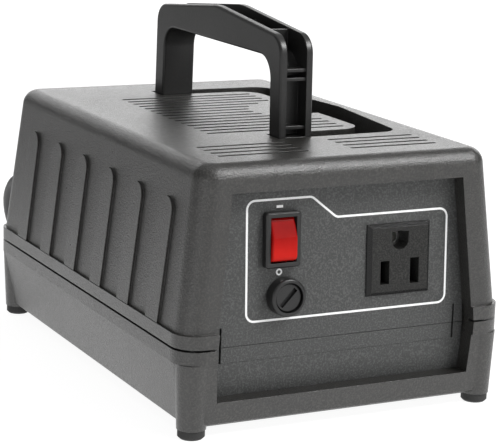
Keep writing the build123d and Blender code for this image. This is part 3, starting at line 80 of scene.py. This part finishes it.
# Shader maths reads as Python: a Wire is one socket, and its operators add Math nodes
class Wire:
    def __init__(self, finish, socket):
        self.finish = finish
        self.socket = socket

    def math(self, operation, *others):
        values = dict(enumerate((self,) + others))
        return self.finish.node("ShaderNodeMath", {"operation": operation}, values)

    def __add__(self, other):
        return self.math("ADD", other)

    __radd__ = __add__

    def __mul__(self, other):
        return self.math("MULTIPLY", other)

    __rmul__ = __mul__

    def __sub__(self, other):
        return self.math("SUBTRACT", other)

    def __rsub__(self, other):
        return self.finish.node("ShaderNodeMath", {"operation": "SUBTRACT"}, {0: other, 1: self})

    def above(self, limit, soft):
        # 0 below the limit and 1 above it, with a soft step between
        smooth = {"interpolation_type": "SMOOTHSTEP"}
        sockets = {"Value": self, "From Min": limit - soft, "From Max": limit + soft}
        return self.finish.node("ShaderNodeMapRange", smooth, sockets)

    def swing(self, spread):
        # noise becomes a value that swings round zero by half the spread
        return (self - noiseMean) * spread


class Finish:
    def __init__(self, name):
        self.material = bpy.data.materials.new(name)
        self.material.use_nodes = True
        self.tree = self.material.node_tree
        self.shader = self.tree.nodes["Principled BSDF"]

    def node(self, kind, settings, sockets, out=0):
        # settings are set before the sockets, because some of them change which sockets there are
        made = self.tree.nodes.new(kind)
        for key, value in settings.items():
            setattr(made, key, value)
        for key, value in sockets.items():
            if isinstance(value, Wire):
                self.tree.links.new(value.socket, made.inputs[key])
            else:
                made.inputs[key].default_value = value
        return Wire(self, made.outputs[out])

    def mix(self, share, first, second):
        # a Mix node's colours go by number: 6 and 7 are put in, and 2 comes out
        return self.node("ShaderNodeMix", {"data_type": "RGBA"}, {"Factor": share, 6: first, 7: second}, 2)

    def place(self, scale=(1, 1, 1)):
        coordinates = self.node("ShaderNodeTexCoord", {}, {}, "Object")
        return self.node("ShaderNodeMapping", {}, {"Vector": coordinates, "Scale": scale})

    def axis(self, where, letter):
        return self.node("ShaderNodeSeparateXYZ", {}, {"Vector": where}, letter)

    def noise(self, where, scale, detail=2.0, rough=0.5):
        sockets = {"Vector": where, "Scale": scale, "Detail": detail, "Roughness": rough}
        return self.node("ShaderNodeTexNoise", {}, sockets)

    def feed(self, name, value):
        if isinstance(value, Wire):
            self.tree.links.new(value.socket, self.shader.inputs[name])
        else:
            self.shader.inputs[name].default_value = value

    def relief(self, height, depth, strength, edge=0.0):
        # a bump of a real depth in metres, over edges that are rounded by a small radius
        sockets = {"Height": height, "Distance": depth, "Strength": strength}
        if edge:
            rounded = self.node("ShaderNodeBevel", {"samples": bevelSamples}, {"Radius": edge})
            sockets["Normal"] = rounded
        self.feed("Normal", self.node("ShaderNodeBump", {}, sockets))


# The grain of moulded faces: its noise, where the noise becomes a speck, and what specks and clouds
# weigh in the colour
grainPattern = {
    "detail": 3.0,
    "rough": 0.6,
    "speckLimit": 0.54,
    "speckSoft": 0.07,
    "speckWeight": 0.7,
    "cloudWeight": 0.3,
    "cloudDetail": 3.0,
    "glossScaleShare": 0.45,  # of the grain's scale
    "glossDetail": 1.0,
}


# Moulded plastics: a dark colour, a spark-eroded grain and faint cloudiness in colour and gloss
def mouldedPlastic(name, look, pattern):
    finish = Finish(name)
    where = finish.place()
    grain = finish.noise(where, look["grainScale"], pattern["detail"], pattern["rough"])
    clouds = finish.noise(where, look["cloudScale"], pattern["cloudDetail"])
    gloss = finish.noise(where, look["grainScale"] * pattern["glossScaleShare"], pattern["glossDetail"])
    specks = grain.above(pattern["speckLimit"], pattern["speckSoft"])
    lighter = tuple(channel * look["lift"] for channel in look["colour"][:3]) + (1,)
    share = clouds * pattern["cloudWeight"] + specks * pattern["speckWeight"]
    finish.feed("Base Color", finish.mix(share, look["colour"], lighter))
    spread = look["roughSpread"]
    finish.feed("Roughness", look["rough"] + clouds.swing(spread) + gloss.swing(spread))
    finish.feed("Specular IOR Level", look["specular"])
    finish.relief(grain, look["grainDepth"], look["grainStrength"], look["edge"])
    return finish.material


plasticLooks = {
    "case": {
        "colour": (0.0056, 0.0053, 0.0047, 1), "lift": 6.6, "rough": 0.32, "roughSpread": 0.12,
        "specular": 0.9, "grainScale": 1500, "grainDepth": 0.0003, "grainStrength": 0.85,
        "cloudScale": 22, "edge": 0.0003,
    },
    "panel": {
        "colour": (0.0205, 0.0212, 0.0208, 1), "lift": 3.9, "rough": 0.42, "roughSpread": 0.2,
        "specular": 0.7, "grainScale": 1500, "grainDepth": 0.0003, "grainStrength": 0.9,
        "cloudScale": 30, "edge": 0.0003,
    },
    "handle": {
        "colour": (0.012, 0.0118, 0.0115, 1), "lift": 1.5, "rough": 0.36, "roughSpread": 0.1,
        "specular": 0.5, "grainScale": 1800, "grainDepth": 0.00006, "grainStrength": 0.45,
        "cloudScale": 40, "edge": 0.0005,
    },
    "fittings": {
        "colour": (0.010, 0.010, 0.010, 1), "lift": 1.6, "rough": 0.38, "roughSpread": 0.08,
        "specular": 0.5, "grainScale": 2600, "grainDepth": 0.00003, "grainStrength": 0.4,
        "cloudScale": 60, "edge": 0.0003,
    },
    "bobbin": {
        "colour": (0.62, 0.58, 0.46, 1), "lift": 1.1, "rough": 0.5, "roughSpread": 0.1,
        "specular": 0.4, "grainScale": 1500, "grainDepth": 0.00004, "grainStrength": 0.4,
        "cloudScale": 50, "edge": 0.0003,
    },
}
plastics = {key: mouldedPlastic(key + "Plastic", look, grainPattern) for key, look in plasticLooks.items()}
print("plastics made")


# The red rocker: clear tinted plastic, with painted light making its lower half brighter and painted shade
# making its upper half darker
def rockerRed(look):
    finish = Finish("rockerRed")
    where = finish.place()
    clouds = finish.noise(where, look["cloudScale"])
    # painted light and shade: above the middle the colour goes to the darker red of painted shade, and
    # below it stays the brighter red of painted light
    paintedShadeHalf = finish.axis(where, "Z").above(look["middle"], look["blend"])
    share = paintedShadeHalf * look["paintedShadeWeight"] + clouds.swing(look["cloudSpread"])
    finish.feed("Base Color", finish.mix(share, look["bright"], look["paintedShadeRed"]))
    finish.feed("Roughness", look["rough"] + clouds.swing(look["roughSpread"]))
    finish.feed("Subsurface Weight", look["depthShare"])
    finish.feed("Subsurface Radius", look["depthRadius"])
    finish.feed("Subsurface Scale", look["depthScale"])
    finish.feed("Specular IOR Level", look["specular"])
    skin = finish.noise(where, look["skinScale"])
    finish.relief(skin, look["skinDepth"], look["skinStrength"], look["edge"])
    return finish.material


rockerLook = {
    # the darker red is painted shade on the upper half, and the brighter red is painted light on the lower
    # half
    "paintedShadeRed": (0.23, 0.002, 0.002, 1), "bright": (0.53, 0.014, 0.01, 1),
    "middle": 0.0685,  # metres over the floor, where the upper half begins
    "blend": 0.005,
    "paintedShadeWeight": 0.85, "cloudSpread": 0.5, "cloudScale": 160,
    "rough": 0.26, "roughSpread": 0.06, "specular": 0.08,
    "depthShare": 0.25, "depthRadius": (0.004, 0.0006, 0.0004), "depthScale": 0.6,
    "skinScale": 900, "skinDepth": 0.00003, "skinStrength": 0.4, "edge": 0.0007,
}


# The socket: a grained face, and a darker polished bevel round it
def socketPlastic(look, pattern):
    finish = Finish("socketPlastic")
    where = finish.place()
    aside = (finish.axis(where, "X") - look["centreX"]).math("ABSOLUTE")
    above = (finish.axis(where, "Z") - look["centreZ"]).math("ABSOLUTE")
    bevel = aside.math("MAXIMUM", above).above(look["faceHalf"], look["bevelSoft"])
    grain = finish.noise(where, look["grainScale"], pattern["detail"], pattern["rough"])
    specks = grain.above(pattern["speckLimit"], look["speckSoft"])
    face = finish.mix(specks, look["face"], look["faceSpeck"])
    finish.feed("Base Color", finish.mix(bevel, face, look["bevel"]))
    finish.feed("Roughness", look["rough"] - bevel * look["bevelGloss"])
    finish.feed("Specular IOR Level", look["specular"])
    finish.relief(grain, look["grainDepth"], look["grainStrength"], look["edge"])
    return finish.material


socketLook = {
    "centreX": 0.0237, "centreZ": 0.0586, "faceHalf": 0.0119, "bevelSoft": 0.0001,
    "face": (0.010, 0.010, 0.0095, 1), "faceSpeck": (0.034, 0.034, 0.032, 1), "speckSoft": 0.1,
    "bevel": (0.004, 0.004, 0.004, 1), "bevelGloss": 0.2,
    "rough": 0.46, "specular": 0.3,
    "grainScale": 1900, "grainDepth": 0.00012, "grainStrength": 0.7, "edge": 0.0002,
}


# Rubber: matt, slightly mottled, with a fine skin
rubberSkin = {
    "detail": 4.0, "depth": 0.00005, "strength": 0.5, "roughSpread": 0.14,
    "dustDetail": 3.0, "dustLimit": 0.55, "dustSoft": 0.2,
}


def rubber(name, look, pattern):
    finish = Finish(name)
    where = finish.place()
    skin = finish.noise(where, look["skinScale"], pattern["detail"])
    dust = finish.noise(where, look["dustScale"], pattern["dustDetail"])
    dusted = dust.above(pattern["dustLimit"], pattern["dustSoft"])
    finish.feed("Base Color", finish.mix(dusted, look["colour"], look["dusty"]))
    finish.feed("Roughness", look["rough"] + skin.swing(pattern["roughSpread"]))
    finish.relief(skin, pattern["depth"], pattern["strength"], look["edge"])
    return finish.material


rubberLooks = {
    "feet": {
        "colour": (0.016, 0.016, 0.016, 1), "dusty": (0.03, 0.03, 0.029, 1), "rough": 0.68,
        "skinScale": 1400, "dustScale": 120, "edge": 0.0004,
    },
    "cord": {
        "colour": (0.014, 0.014, 0.015, 1), "dusty": (0.022, 0.022, 0.022, 1), "rough": 0.42,
        "skinScale": 2200, "dustScale": 60, "edge": 0.0,
    },
}
rubbers = {key: rubber(key + "Rubber", look, rubberSkin) for key, look in rubberLooks.items()}


# Metals: drawn or rolled along one way, so the streaks are a noise stretched along an axis
metalGrain = {"detail": 4.0, "rough": 0.6, "spotDetail": 3.0, "strength": 0.5}


def metal(name, look, pattern):
    finish = Finish(name)
    stretched = finish.place(look["stretch"])
    streaks = finish.noise(stretched, look["streakScale"], pattern["detail"], pattern["rough"])
    spots = finish.noise(finish.place(), look["spotScale"], pattern["spotDetail"])
    finish.feed("Base Color", finish.mix(spots, look["colour"], look["worn"]))
    finish.feed("Metallic", look["metallic"])
    finish.feed("Roughness", look["rough"] + streaks.swing(look["roughSpread"]))
    finish.relief(streaks, look["depth"], pattern["strength"], look["edge"])
    return finish.material


metalLooks = {
    "zincSteel": {
        "colour": (0.48, 0.48, 0.47, 1), "worn": (0.62, 0.62, 0.6, 1), "metallic": 1.0, "rough": 0.32,
        "roughSpread": 0.2, "stretch": (1, 1, 0.15), "streakScale": 900, "spotScale": 160,
        "depth": 0.00003, "edge": 0.0002,
    },
    "brightBrass": {
        "colour": (0.7, 0.5, 0.22, 1), "worn": (0.8, 0.62, 0.32, 1), "metallic": 1.0, "rough": 0.26,
        "roughSpread": 0.16, "stretch": (1, 1, 0.2), "streakScale": 1100, "spotScale": 200,
        "depth": 0.00002, "edge": 0.0002,
    },
    "coreSteel": {
        "colour": (0.07, 0.068, 0.066, 1), "worn": (0.13, 0.12, 0.11, 1), "metallic": 0.6, "rough": 0.42,
        "roughSpread": 0.2, "stretch": (0.05, 1, 0.05), "streakScale": 1900, "spotScale": 60,
        "depth": 0.0002, "edge": 0.0003,
    },
}
metals = {key: metal(key, look, metalGrain) for key, look in metalLooks.items()}


# The line pins of the plug: bright brass above a moulded black sleeve
def sleevedPin(look, brass, pattern):
    finish = Finish("sleevedPin")
    bare = finish.axis(finish.place(), "Z").above(look["sleeveTop"], look["sleeveSoft"])
    stretched = finish.place(brass["stretch"])
    streaks = finish.noise(stretched, brass["streakScale"], pattern["detail"], pattern["rough"])
    brassColour = finish.mix(streaks, brass["colour"], brass["worn"])
    finish.feed("Base Color", finish.mix(bare, look["sleeve"], brassColour))
    finish.feed("Metallic", bare)
    finish.feed("Roughness", look["rough"] - bare * look["brassGloss"] + streaks.swing(look["roughSpread"]))
    finish.relief(streaks, brass["depth"], pattern["strength"], look["edge"])
    return finish.material


pinLook = {
    "sleeveTop": 0.0318,  # metres over the floor
    "sleeveSoft": 0.00008,
    "sleeve": (0.012, 0.012, 0.012, 1),
    "rough": 0.45, "brassGloss": 0.2, "roughSpread": 0.14, "edge": 0.0003,
}


# Enamelled wire: close turns as a fine wave up the winding, over a coppery red
def enamelledWire(look):
    finish = Finish("enamelledWire")
    where = finish.place()
    turns = finish.node(
        "ShaderNodeTexWave",
        {"wave_type": "BANDS", "bands_direction": "Z"},
        {
            "Vector": where,
            "Scale": look["turnsScale"],
            "Distortion": look["turnsDistortion"],
            "Detail": look["turnsDetail"],
        },
    )
    clouds = finish.noise(where, look["cloudScale"], look["cloudDetail"])
    finish.feed("Base Color", finish.mix(clouds, look["colour"], look["bright"]))
    finish.feed("Metallic", look["metallic"])
    finish.feed("Roughness", look["rough"] + clouds * look["roughRise"])
    finish.relief(turns, look["depth"], look["strength"])
    return finish.material


wireLook = {
    "colour": (0.42, 0.13, 0.05, 1), "bright": (0.62, 0.22, 0.08, 1), "metallic": 0.85,
    "rough": 0.28, "roughRise": 0.14, "cloudScale": 80, "cloudDetail": 3.0,
    "turnsScale": 320, "turnsDistortion": 0.6, "turnsDetail": 1.0, "depth": 0.0002, "strength": 0.8,
}


# Fuse glass: clear with a faint smear
def fuseGlass(look):
    finish = Finish("fuseGlass")
    smear = finish.noise(finish.place(), look["smearScale"])
    finish.feed("Base Color", look["colour"])
    finish.feed("Roughness", look["rough"] + smear * look["smear"])
    finish.feed("Transmission Weight", look["clear"])
    finish.feed("IOR", look["refraction"])
    return finish.material


glassLook = {
    "colour": (0.95, 0.97, 0.96, 1), "clear": 0.9, "refraction": 1.5,
    "rough": 0.04, "smear": 0.06, "smearScale": 300,
}


# Printing ink: white, a little uneven where the grain of the panel shows through
def printInk(look):
    finish = Finish("whiteInk")
    cover = finish.noise(finish.place(), look["coverScale"], look["coverDetail"])
    finish.feed("Base Color", finish.mix(cover, look["thin"], look["full"]))
    finish.feed("Roughness", look["rough"] + cover.swing(look["roughSpread"]))
    finish.relief(cover, look["depth"], look["strength"])
    return finish.material


inkLook = {
    "thin": (0.86, 0.86, 0.86, 1), "full": (0.98, 0.98, 0.98, 1), "coverScale": 1200, "coverDetail": 3.0,
    "rough": 0.5, "roughSpread": 0.2, "depth": 0.00002, "strength": 0.4,
}

nodeFinishes = {
    plastics["case"]: ("upper_case", "lower_case"),
    plastics["panel"]: ("front_panel_upper", "front_panel_lower", "rear_panel_upper", "rear_panel_lower"),
    plastics["handle"]: ("handle",),
    plastics["fittings"]: (
        "switch_body", "fuse_holder_body", "fuse_holder_nut", "fuse_cap", "fuse_carrier", "plug_cover",
        "plug_base", "thermal_cutout",
    ),
    plastics["bobbin"]: ("bobbin",),
    socketPlastic(socketLook, grainPattern): ("socket_body",),
    sleevedPin(pinLook, metalLooks["brightBrass"], metalGrain): ("plug_pin_live", "plug_pin_neutral"),
    rockerRed(rockerLook): ("switch_rocker",),
    rubbers["feet"]: ("foot_front_left", "foot_front_right", "foot_rear_left", "foot_rear_right"),
    rubbers["cord"]: ("strain_relief",),
    metals["zincSteel"]: (
        "case_screws", "handle_pivot_pins", "core_brackets", "bracket_screws", "core_bolts", "core_nuts",
        "socket_contact_live", "socket_contact_neutral", "socket_contact_ground",
    ),
    metals["brightBrass"]: (
        "switch_terminals", "fuse_holder_terminals", "fuse_end_caps", "plug_pin_earth",
    ),
    metals["coreSteel"]: ("transformer_core",),
    enamelledWire(wireLook): ("primary_winding", "secondary_winding"),
    fuseGlass(glassLook): ("fuse_tube",),
}
for material, names in nodeFinishes.items():
    for name in names:
        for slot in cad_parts[name].material_slots:
            slot.material = material
print("materials on", sum(len(names) for names in nodeFinishes.values()), "nodes")


def newPiece(name, points, faces, material):
    mesh = bpy.data.meshes.new(name)
    mesh.from_pydata(points.tolist(), [], faces.tolist())
    mesh.update()
    mesh.materials.append(material)
    piece = bpy.data.objects.new(name, mesh)
    bpy.context.collection.objects.link(piece)
    return piece


# The mains cord: out of the strain relief, down to the floor behind the case and into its coil
cordSettings = {
    "diameter": 7.0,
    "length": 1.22,  # metres
    "roundSteps": 6,
    "lengthSteps": 6,
    "route": (
        (-42.0, 115.45, 50.0), (-42.0, 136.43, 51.05), (-42.0, 153.0, 36.5), (-33.5, 162.5, 16.0),
        (-17.0, 166.5, 5.2),
    ),
    "runIn": 17.5,  # mm of straight cord before the coil
    "coilCentre": (43.5, 152.0),
    "coilRadius": 46.0,
    "coilPitch": 7.6,
    "startAngle": 135.0,
    "floorHeight": 3.6,
    "layerTurns": 2,
    "pointsInHalfTurn": 8,
    "tailStart": 7.0,
    "tailLead": 20.0,  # mm to the bend that turns the tail to the front
    "tailDrop": 38.0,  # mm from the bend to the plug's sleeve
    "movesWith": (
        "strain_relief", "plug_cover", "plug_base", "plug_pin_live", "plug_pin_neutral", "plug_pin_earth",
    ),
}


def arcPoints(centre, radius, inward, heading, turn):
    # from the centre the radius goes back by the turn's cosine and along the heading by its sine
    return centre + radius * (np.outer(-np.cos(turn), inward) + np.outer(np.sin(turn), heading))


def turnedInward(heading):
    # a quarter turn to the right, seen from above
    return np.array([heading[1], -heading[0], 0.0])


# half turns joined end to end: the centre steps sideways as the radius changes, and one half turn
# climbs to the second layer
def coilPoints(settings):
    angle = math.radians(settings["startAngle"])
    outermost, pitch, turns = (settings[key] for key in ("coilRadius", "coilPitch", "layerTurns"))
    centreX, centreY = settings["coilCentre"]
    startX = centreX + outermost * math.cos(angle)
    startY = centreY + outermost * math.sin(angle)
    here = np.array([startX, startY, settings["floorHeight"]])
    heading = np.array([math.sin(angle), -math.cos(angle), 0.0])
    halves = [(outermost - half * pitch / 2, 0) for half in range(2 * turns)]
    halves.append((outermost - turns * pitch, pitch))
    halves += [(radius, 0) for radius, climb in reversed(halves[1:-1])]
    count = settings["pointsInHalfTurn"]
    turn = (np.arange(count) + 0.5) * math.pi / count
    swell = 1 / math.cos(math.pi / count / 2)  # a smooth line runs a little inside its control points
    rows = [np.array([here - heading * settings["runIn"], here - heading * settings["diameter"]])]
    for radius, climb in halves:
        tilt = math.asin(climb / (2 * radius))
        inward = turnedInward(heading) * math.cos(tilt) + np.array([0, 0, math.sin(tilt)])
        centre = here + inward * radius
        rows.append(arcPoints(centre, radius * swell, inward, heading, turn))
        here = centre + inward * radius
        heading = -heading
    inward = turnedInward(heading)
    centre = here + inward * outermost
    rows.append(arcPoints(centre, outermost * swell, inward, heading, turn[:count // 2]))
    tail = centre + heading * outermost + inward * settings["tailStart"]
    bend = tail + inward * settings["tailLead"]
    rows.append(np.array([tail, bend, bend - np.array([0, settings["tailDrop"], 0])]))
    return np.vstack(rows)


def makeCord(settings, material):
    points = np.vstack([np.array(settings["route"]), coilPoints(settings)]) * mm
    curve = bpy.data.curves.new("mainsCord", "CURVE")
    curve.dimensions = "3D"
    curve.bevel_depth = settings["diameter"] / 2 * mm
    curve.bevel_resolution = settings["roundSteps"]
    curve.resolution_u = settings["lengthSteps"]
    curve.use_fill_caps = True
    spline = curve.splines.new("NURBS")
    spline.points.add(len(points) - 1)
    spline.points.foreach_set("co", np.hstack([points, np.ones((len(points), 1))]).ravel())
    spline.order_u = 3
    spline.use_endpoint_u = True
    curve.materials.append(material)
    piece = bpy.data.objects.new("mainsCord", curve)
    bpy.context.collection.objects.link(piece)
    return piece


cord = makeCord(cordSettings, rubbers["cord"])
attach(cord, "case")
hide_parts("cord_tube", "cord_coil", "cord_tail")
print("cord laid")


# Liners close the sides of both windows beside the seam, between the wall and the panel
linerSettings = {
    "bottom": (28.2, 53.5),  # height and distance from the middle, mm
    "seam": (33.5, 53.85),
    "top": (38.8, 53.25),
    "front": 91.7,  # behind the wall
    "back": 87.4,
    "thick": 1.0,
}


def makeLiners(settings, material):
    # four liners, left and right at each end, and each has three rings of four corners
    levels = np.array([settings[key] for key in ("bottom", "seam", "top")])
    height, half = levels.T[:, :, None]
    outwards = np.array([0, settings["thick"], settings["thick"], 0])
    along = np.array([settings["front"], settings["front"], settings["back"], settings["back"]])
    liner = np.stack(np.broadcast_arrays(half + outwards, along, height), -1).reshape(-1, 3)
    sides = np.array([(-1, -1, 1), (-1, 1, 1), (1, -1, 1), (1, 1, 1)])
    points = (sides[:, None] * liner).reshape(-1, 3) * mm
    corner = np.arange(4)
    following = (corner + 1) % 4
    rings = corner + np.arange(3)[:, None] * 4
    ahead = following + np.arange(3)[:, None] * 4
    walls = np.stack([rings[:-1], rings[1:], ahead[1:], ahead[:-1]], -1).reshape(-1, 4)
    own = np.vstack([rings[0], rings[2][::-1], walls])
    # one mirroring turns the corners the other way round, and a second one turns them back
    mirroredOnce = sides.prod(axis=1)[:, None, None] < 0
    starts = np.arange(len(sides))[:, None, None] * len(liner)
    faces = np.where(mirroredOnce, own, own[:, ::-1]) + starts
    piece = newPiece("windowLiners", points, faces.reshape(-1, 4), material)
    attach(piece, "case")


makeLiners(linerSettings, plastics["case"])

# The print on the front panel lies on the panel's leaning face
panelFace = {
    "lean": 0.05,
    "ledge": 38.9,
    "depth": 88.02,  # how far the face stands from the middle at the ledge's height, mm
    "proud": 0.05,
    "inkThickness": 0.04,
}


def onPanel(across, height, out):
    # height above the floor picks the place up the slope, out is measured square to the face
    scale = math.hypot(1, panelFace["lean"])
    depth = -panelFace["depth"] + (height - panelFace["ledge"]) * panelFace["lean"]
    return np.stack([across, depth - out / scale, height + out * panelFace["lean"] / scale], axis=-1) * mm


def printedPiece(name, points, faces, material):
    # the ink is a thin body that rides on the case
    piece = newPiece(name, points, faces, material)
    body = piece.modifiers.new("inkBody", "SOLIDIFY")
    body.thickness = panelFace["inkThickness"] * mm
    body.offset = 0
    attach(piece, "case")


def unit(vector):
    return vector / np.linalg.norm(vector)


def roundedPath(corners, radius, steps):
    # each corner becomes an arc that touches both of its sides
    corners = np.array(corners, float)
    share = np.linspace(0, 1, steps)[:, None]
    rows = []
    for before, corner, after in zip(np.roll(corners, 1, 0), corners, np.roll(corners, -1, 0)):
        toBefore = unit(before - corner)
        toAfter = unit(after - corner)
        half = math.acos(np.clip(toBefore @ toAfter, -1, 1)) / 2
        reach = radius / math.tan(half)
        middle = corner + unit(toBefore + toAfter) * radius / math.sin(half)
        first = corner + toBefore * reach - middle
        last = corner + toAfter * reach - middle
        sweep = math.pi - 2 * half
        arc = np.sin((1 - share) * sweep) * first + np.sin(share * sweep) * last
        rows.append(middle + arc / math.sin(sweep))
    return np.vstack(rows)


def printedLine(name, path, width, material):
    # a closed ribbon: the path is pushed out and in by half its width along its own normal
    ahead = np.roll(path, -1, 0) - np.roll(path, 1, 0)
    normal = np.stack([ahead[:, 1], -ahead[:, 0]], 1) / np.linalg.norm(ahead, axis=1)[:, None]
    edges = (path + normal * width / 2, path - normal * width / 2)
    points = np.vstack([onPanel(edge[:, 0], edge[:, 1], panelFace["proud"]) for edge in edges])
    count = len(path)
    index = np.arange(count)
    following = (index + 1) % count
    faces = np.stack([index, following, following + count, index + count], 1)
    printedPiece(name, points, faces, material)


# The white frame line round the switch, the fuse and the socket
borderSettings = {
    "left": -38.9, "right": 44.8, "bottom": 40.1, "leftTop": 84.0, "rightTop": 75.9,
    "slopeStart": -12.7, "slopeEnd": -2.5,  # where the top steps down
    "radius": 3.2, "width": 0.8, "cornerSteps": 9,
}


def makeBorder(settings, material):
    corners = (
        (settings["left"], settings["bottom"]), (settings["left"], settings["leftTop"]),
        (settings["slopeStart"], settings["leftTop"]), (settings["slopeEnd"], settings["rightTop"]),
        (settings["right"], settings["rightTop"]), (settings["right"], settings["bottom"]),
    )
    path = roundedPath(corners, settings["radius"], settings["cornerSteps"])
    printedLine("panelBorderLine", path, settings["width"], material)


# The plain marks of the switch: a bar above it and a ring below it
markSettings = {
    "across": -25.8,
    "on": 81.35,
    "off": 57.5,
    "barLength": 2.6,
    "barWidth": 0.95,
    "ringRadius": 0.95,
    "ringWidth": 0.62,
    "ringSteps": 32,
}


def makeMarks(settings, material):
    barHalf = np.array([settings["barLength"], settings["barWidth"]]) / 2
    signs = np.array([(-1, -1), (-1, 1), (1, 1), (1, -1)])
    bar = signs * barHalf + (settings["across"], settings["on"])
    barPoints = onPanel(bar[:, 0], bar[:, 1], panelFace["proud"])
    printedPiece("switchBarMark", barPoints, np.array([(3, 2, 1, 0)]), material)
    turn = np.linspace(0, -2 * math.pi, settings["ringSteps"] + 1)[:-1]
    circle = np.stack([np.cos(turn), np.sin(turn)], 1) * settings["ringRadius"]
    ringPath = circle + (settings["across"], settings["off"])
    printedLine("switchRingMark", ringPath, settings["ringWidth"], material)


ink = printInk(inkLook)
makeBorder(borderSettings, ink)
makeMarks(markSettings, ink)
print("panel print made")


# Light: a weak broad source above, the main box in front of it whose reflection the rounded edges show,
# a bright backdrop whose reflection the top shows, and two weak fills
lightSettings = {
    "topSoftbox": {"place": (0, 0.1, 1.4), "aim": (0, 0, 0.06), "size": (2.0, 2.0), "watts": 5.0},
    "keyBox": {"place": (0.71, -0.85, 1.2), "aim": (0, 0, 0.08), "size": (0.55, 0.55), "watts": 21.0},
    "backdrop": {"place": (0.95, 1.85, 0.52), "aim": (0, 0, 0.1), "size": (2.6, 0.95), "watts": 16.2},
    "leftFill": {"place": (-0.95, -0.7, 0.16), "aim": (0, 0, 0.05), "size": (0.7, 0.4), "watts": 1.6},
    "frontFill": {"place": (0.35, -1.45, 0.6), "aim": (0, 0, 0.06), "size": (0.9, 0.9), "watts": 2.6},
}


def addLight(name, settings):
    data = bpy.data.lights.new(name, "AREA")
    data.shape = "RECTANGLE"
    data.size, data.size_y = settings["size"]
    data.energy = settings["watts"]
    lamp = bpy.data.objects.new(name, data)
    bpy.context.collection.objects.link(lamp)
    lamp.location = settings["place"]
    lamp.visible_camera = False
    direction = Vector(settings["aim"]) - Vector(settings["place"])
    lamp.rotation_euler = direction.to_track_quat("-Z", "Y").to_euler()


for name, settings in lightSettings.items():
    addLight(name, settings)

# The room: white where the camera looks past the floor, and a weak even light for the rest
worldSettings = {"seen": 1.0, "light": 0.24, "colour": (1, 1, 1, 1)}


def makeWorld(settings):
    world = bpy.data.worlds.new("paleRoom")
    world.use_nodes = True
    bpy.context.scene.world = world
    tree = world.node_tree
    rays = tree.nodes.new("ShaderNodeLightPath")
    strength = tree.nodes.new("ShaderNodeMapRange")
    strength.inputs["To Min"].default_value = settings["light"]
    strength.inputs["To Max"].default_value = settings["seen"]
    tree.links.new(rays.outputs["Is Camera Ray"], strength.inputs["Value"])
    background = tree.nodes["Background"]
    background.inputs["Color"].default_value = settings["colour"]
    tree.links.new(strength.outputs["Result"], background.inputs["Strength"])


makeWorld(worldSettings)

# The floor: a share of it glows white for the camera and for reflections close to the case, and the rest
# is shaded, which keeps the shadow
floorSettings = {
    "half": 12.0,
    "glow": 1.25,
    "glowColour": (1, 1, 1, 1),
    "ownWhite": 0.74,
    "mirroredNear": 1.0,
    "mirroredFar": 0.0,
    "nearReach": 0.36,  # metres from the middle
    "reachBlend": 0.08,
    "colour": (0.9, 0.9, 0.9, 1),
    "paler": (0.92, 0.92, 0.92, 1),
    "mottleScale": 3.0,
    "rough": 0.9,
}


def makeFloor(settings):
    finish = Finish("whiteFloor")
    cameraRay = finish.node("ShaderNodeLightPath", {}, {}, "Is Camera Ray")
    glossyRay = finish.node("ShaderNodeLightPath", {}, {}, "Is Glossy Ray")
    glowing = {"Color": settings["glowColour"], "Strength": settings["glow"]}
    glow = finish.node("ShaderNodeEmission", {}, glowing)
    mottle = finish.noise(finish.place(), settings["mottleScale"])
    finish.feed("Base Color", finish.mix(mottle, settings["colour"], settings["paler"]))
    finish.feed("Roughness", settings["rough"])
    finish.feed("Specular IOR Level", 0.0)
    shaded = Wire(finish, finish.shader.outputs[0])
    away = finish.node("ShaderNodeVectorMath", {"operation": "LENGTH"}, {0: finish.place()}, "Value")
    far = away.above(settings["nearReach"], settings["reachBlend"])
    mirrored = settings["mirroredNear"] - far * (settings["mirroredNear"] - settings["mirroredFar"])
    glowShare = cameraRay * settings["ownWhite"] + glossyRay * mirrored
    mixed = finish.node("ShaderNodeMixShader", {}, {0: glowShare, 1: shaded, 2: glow})
    finish.tree.links.new(mixed.socket, finish.tree.nodes["Material Output"].inputs["Surface"])
    signs = np.array([(-1, -1, 0), (1, -1, 0), (1, 1, 0), (-1, 1, 0)])
    floor = newPiece("studioFloor", signs * settings["half"], np.array([(0, 1, 2, 3)]), finish.material)


makeFloor(floorSettings)
bpy.context.scene.view_settings.view_transform = "Standard"
print("light and floor set")
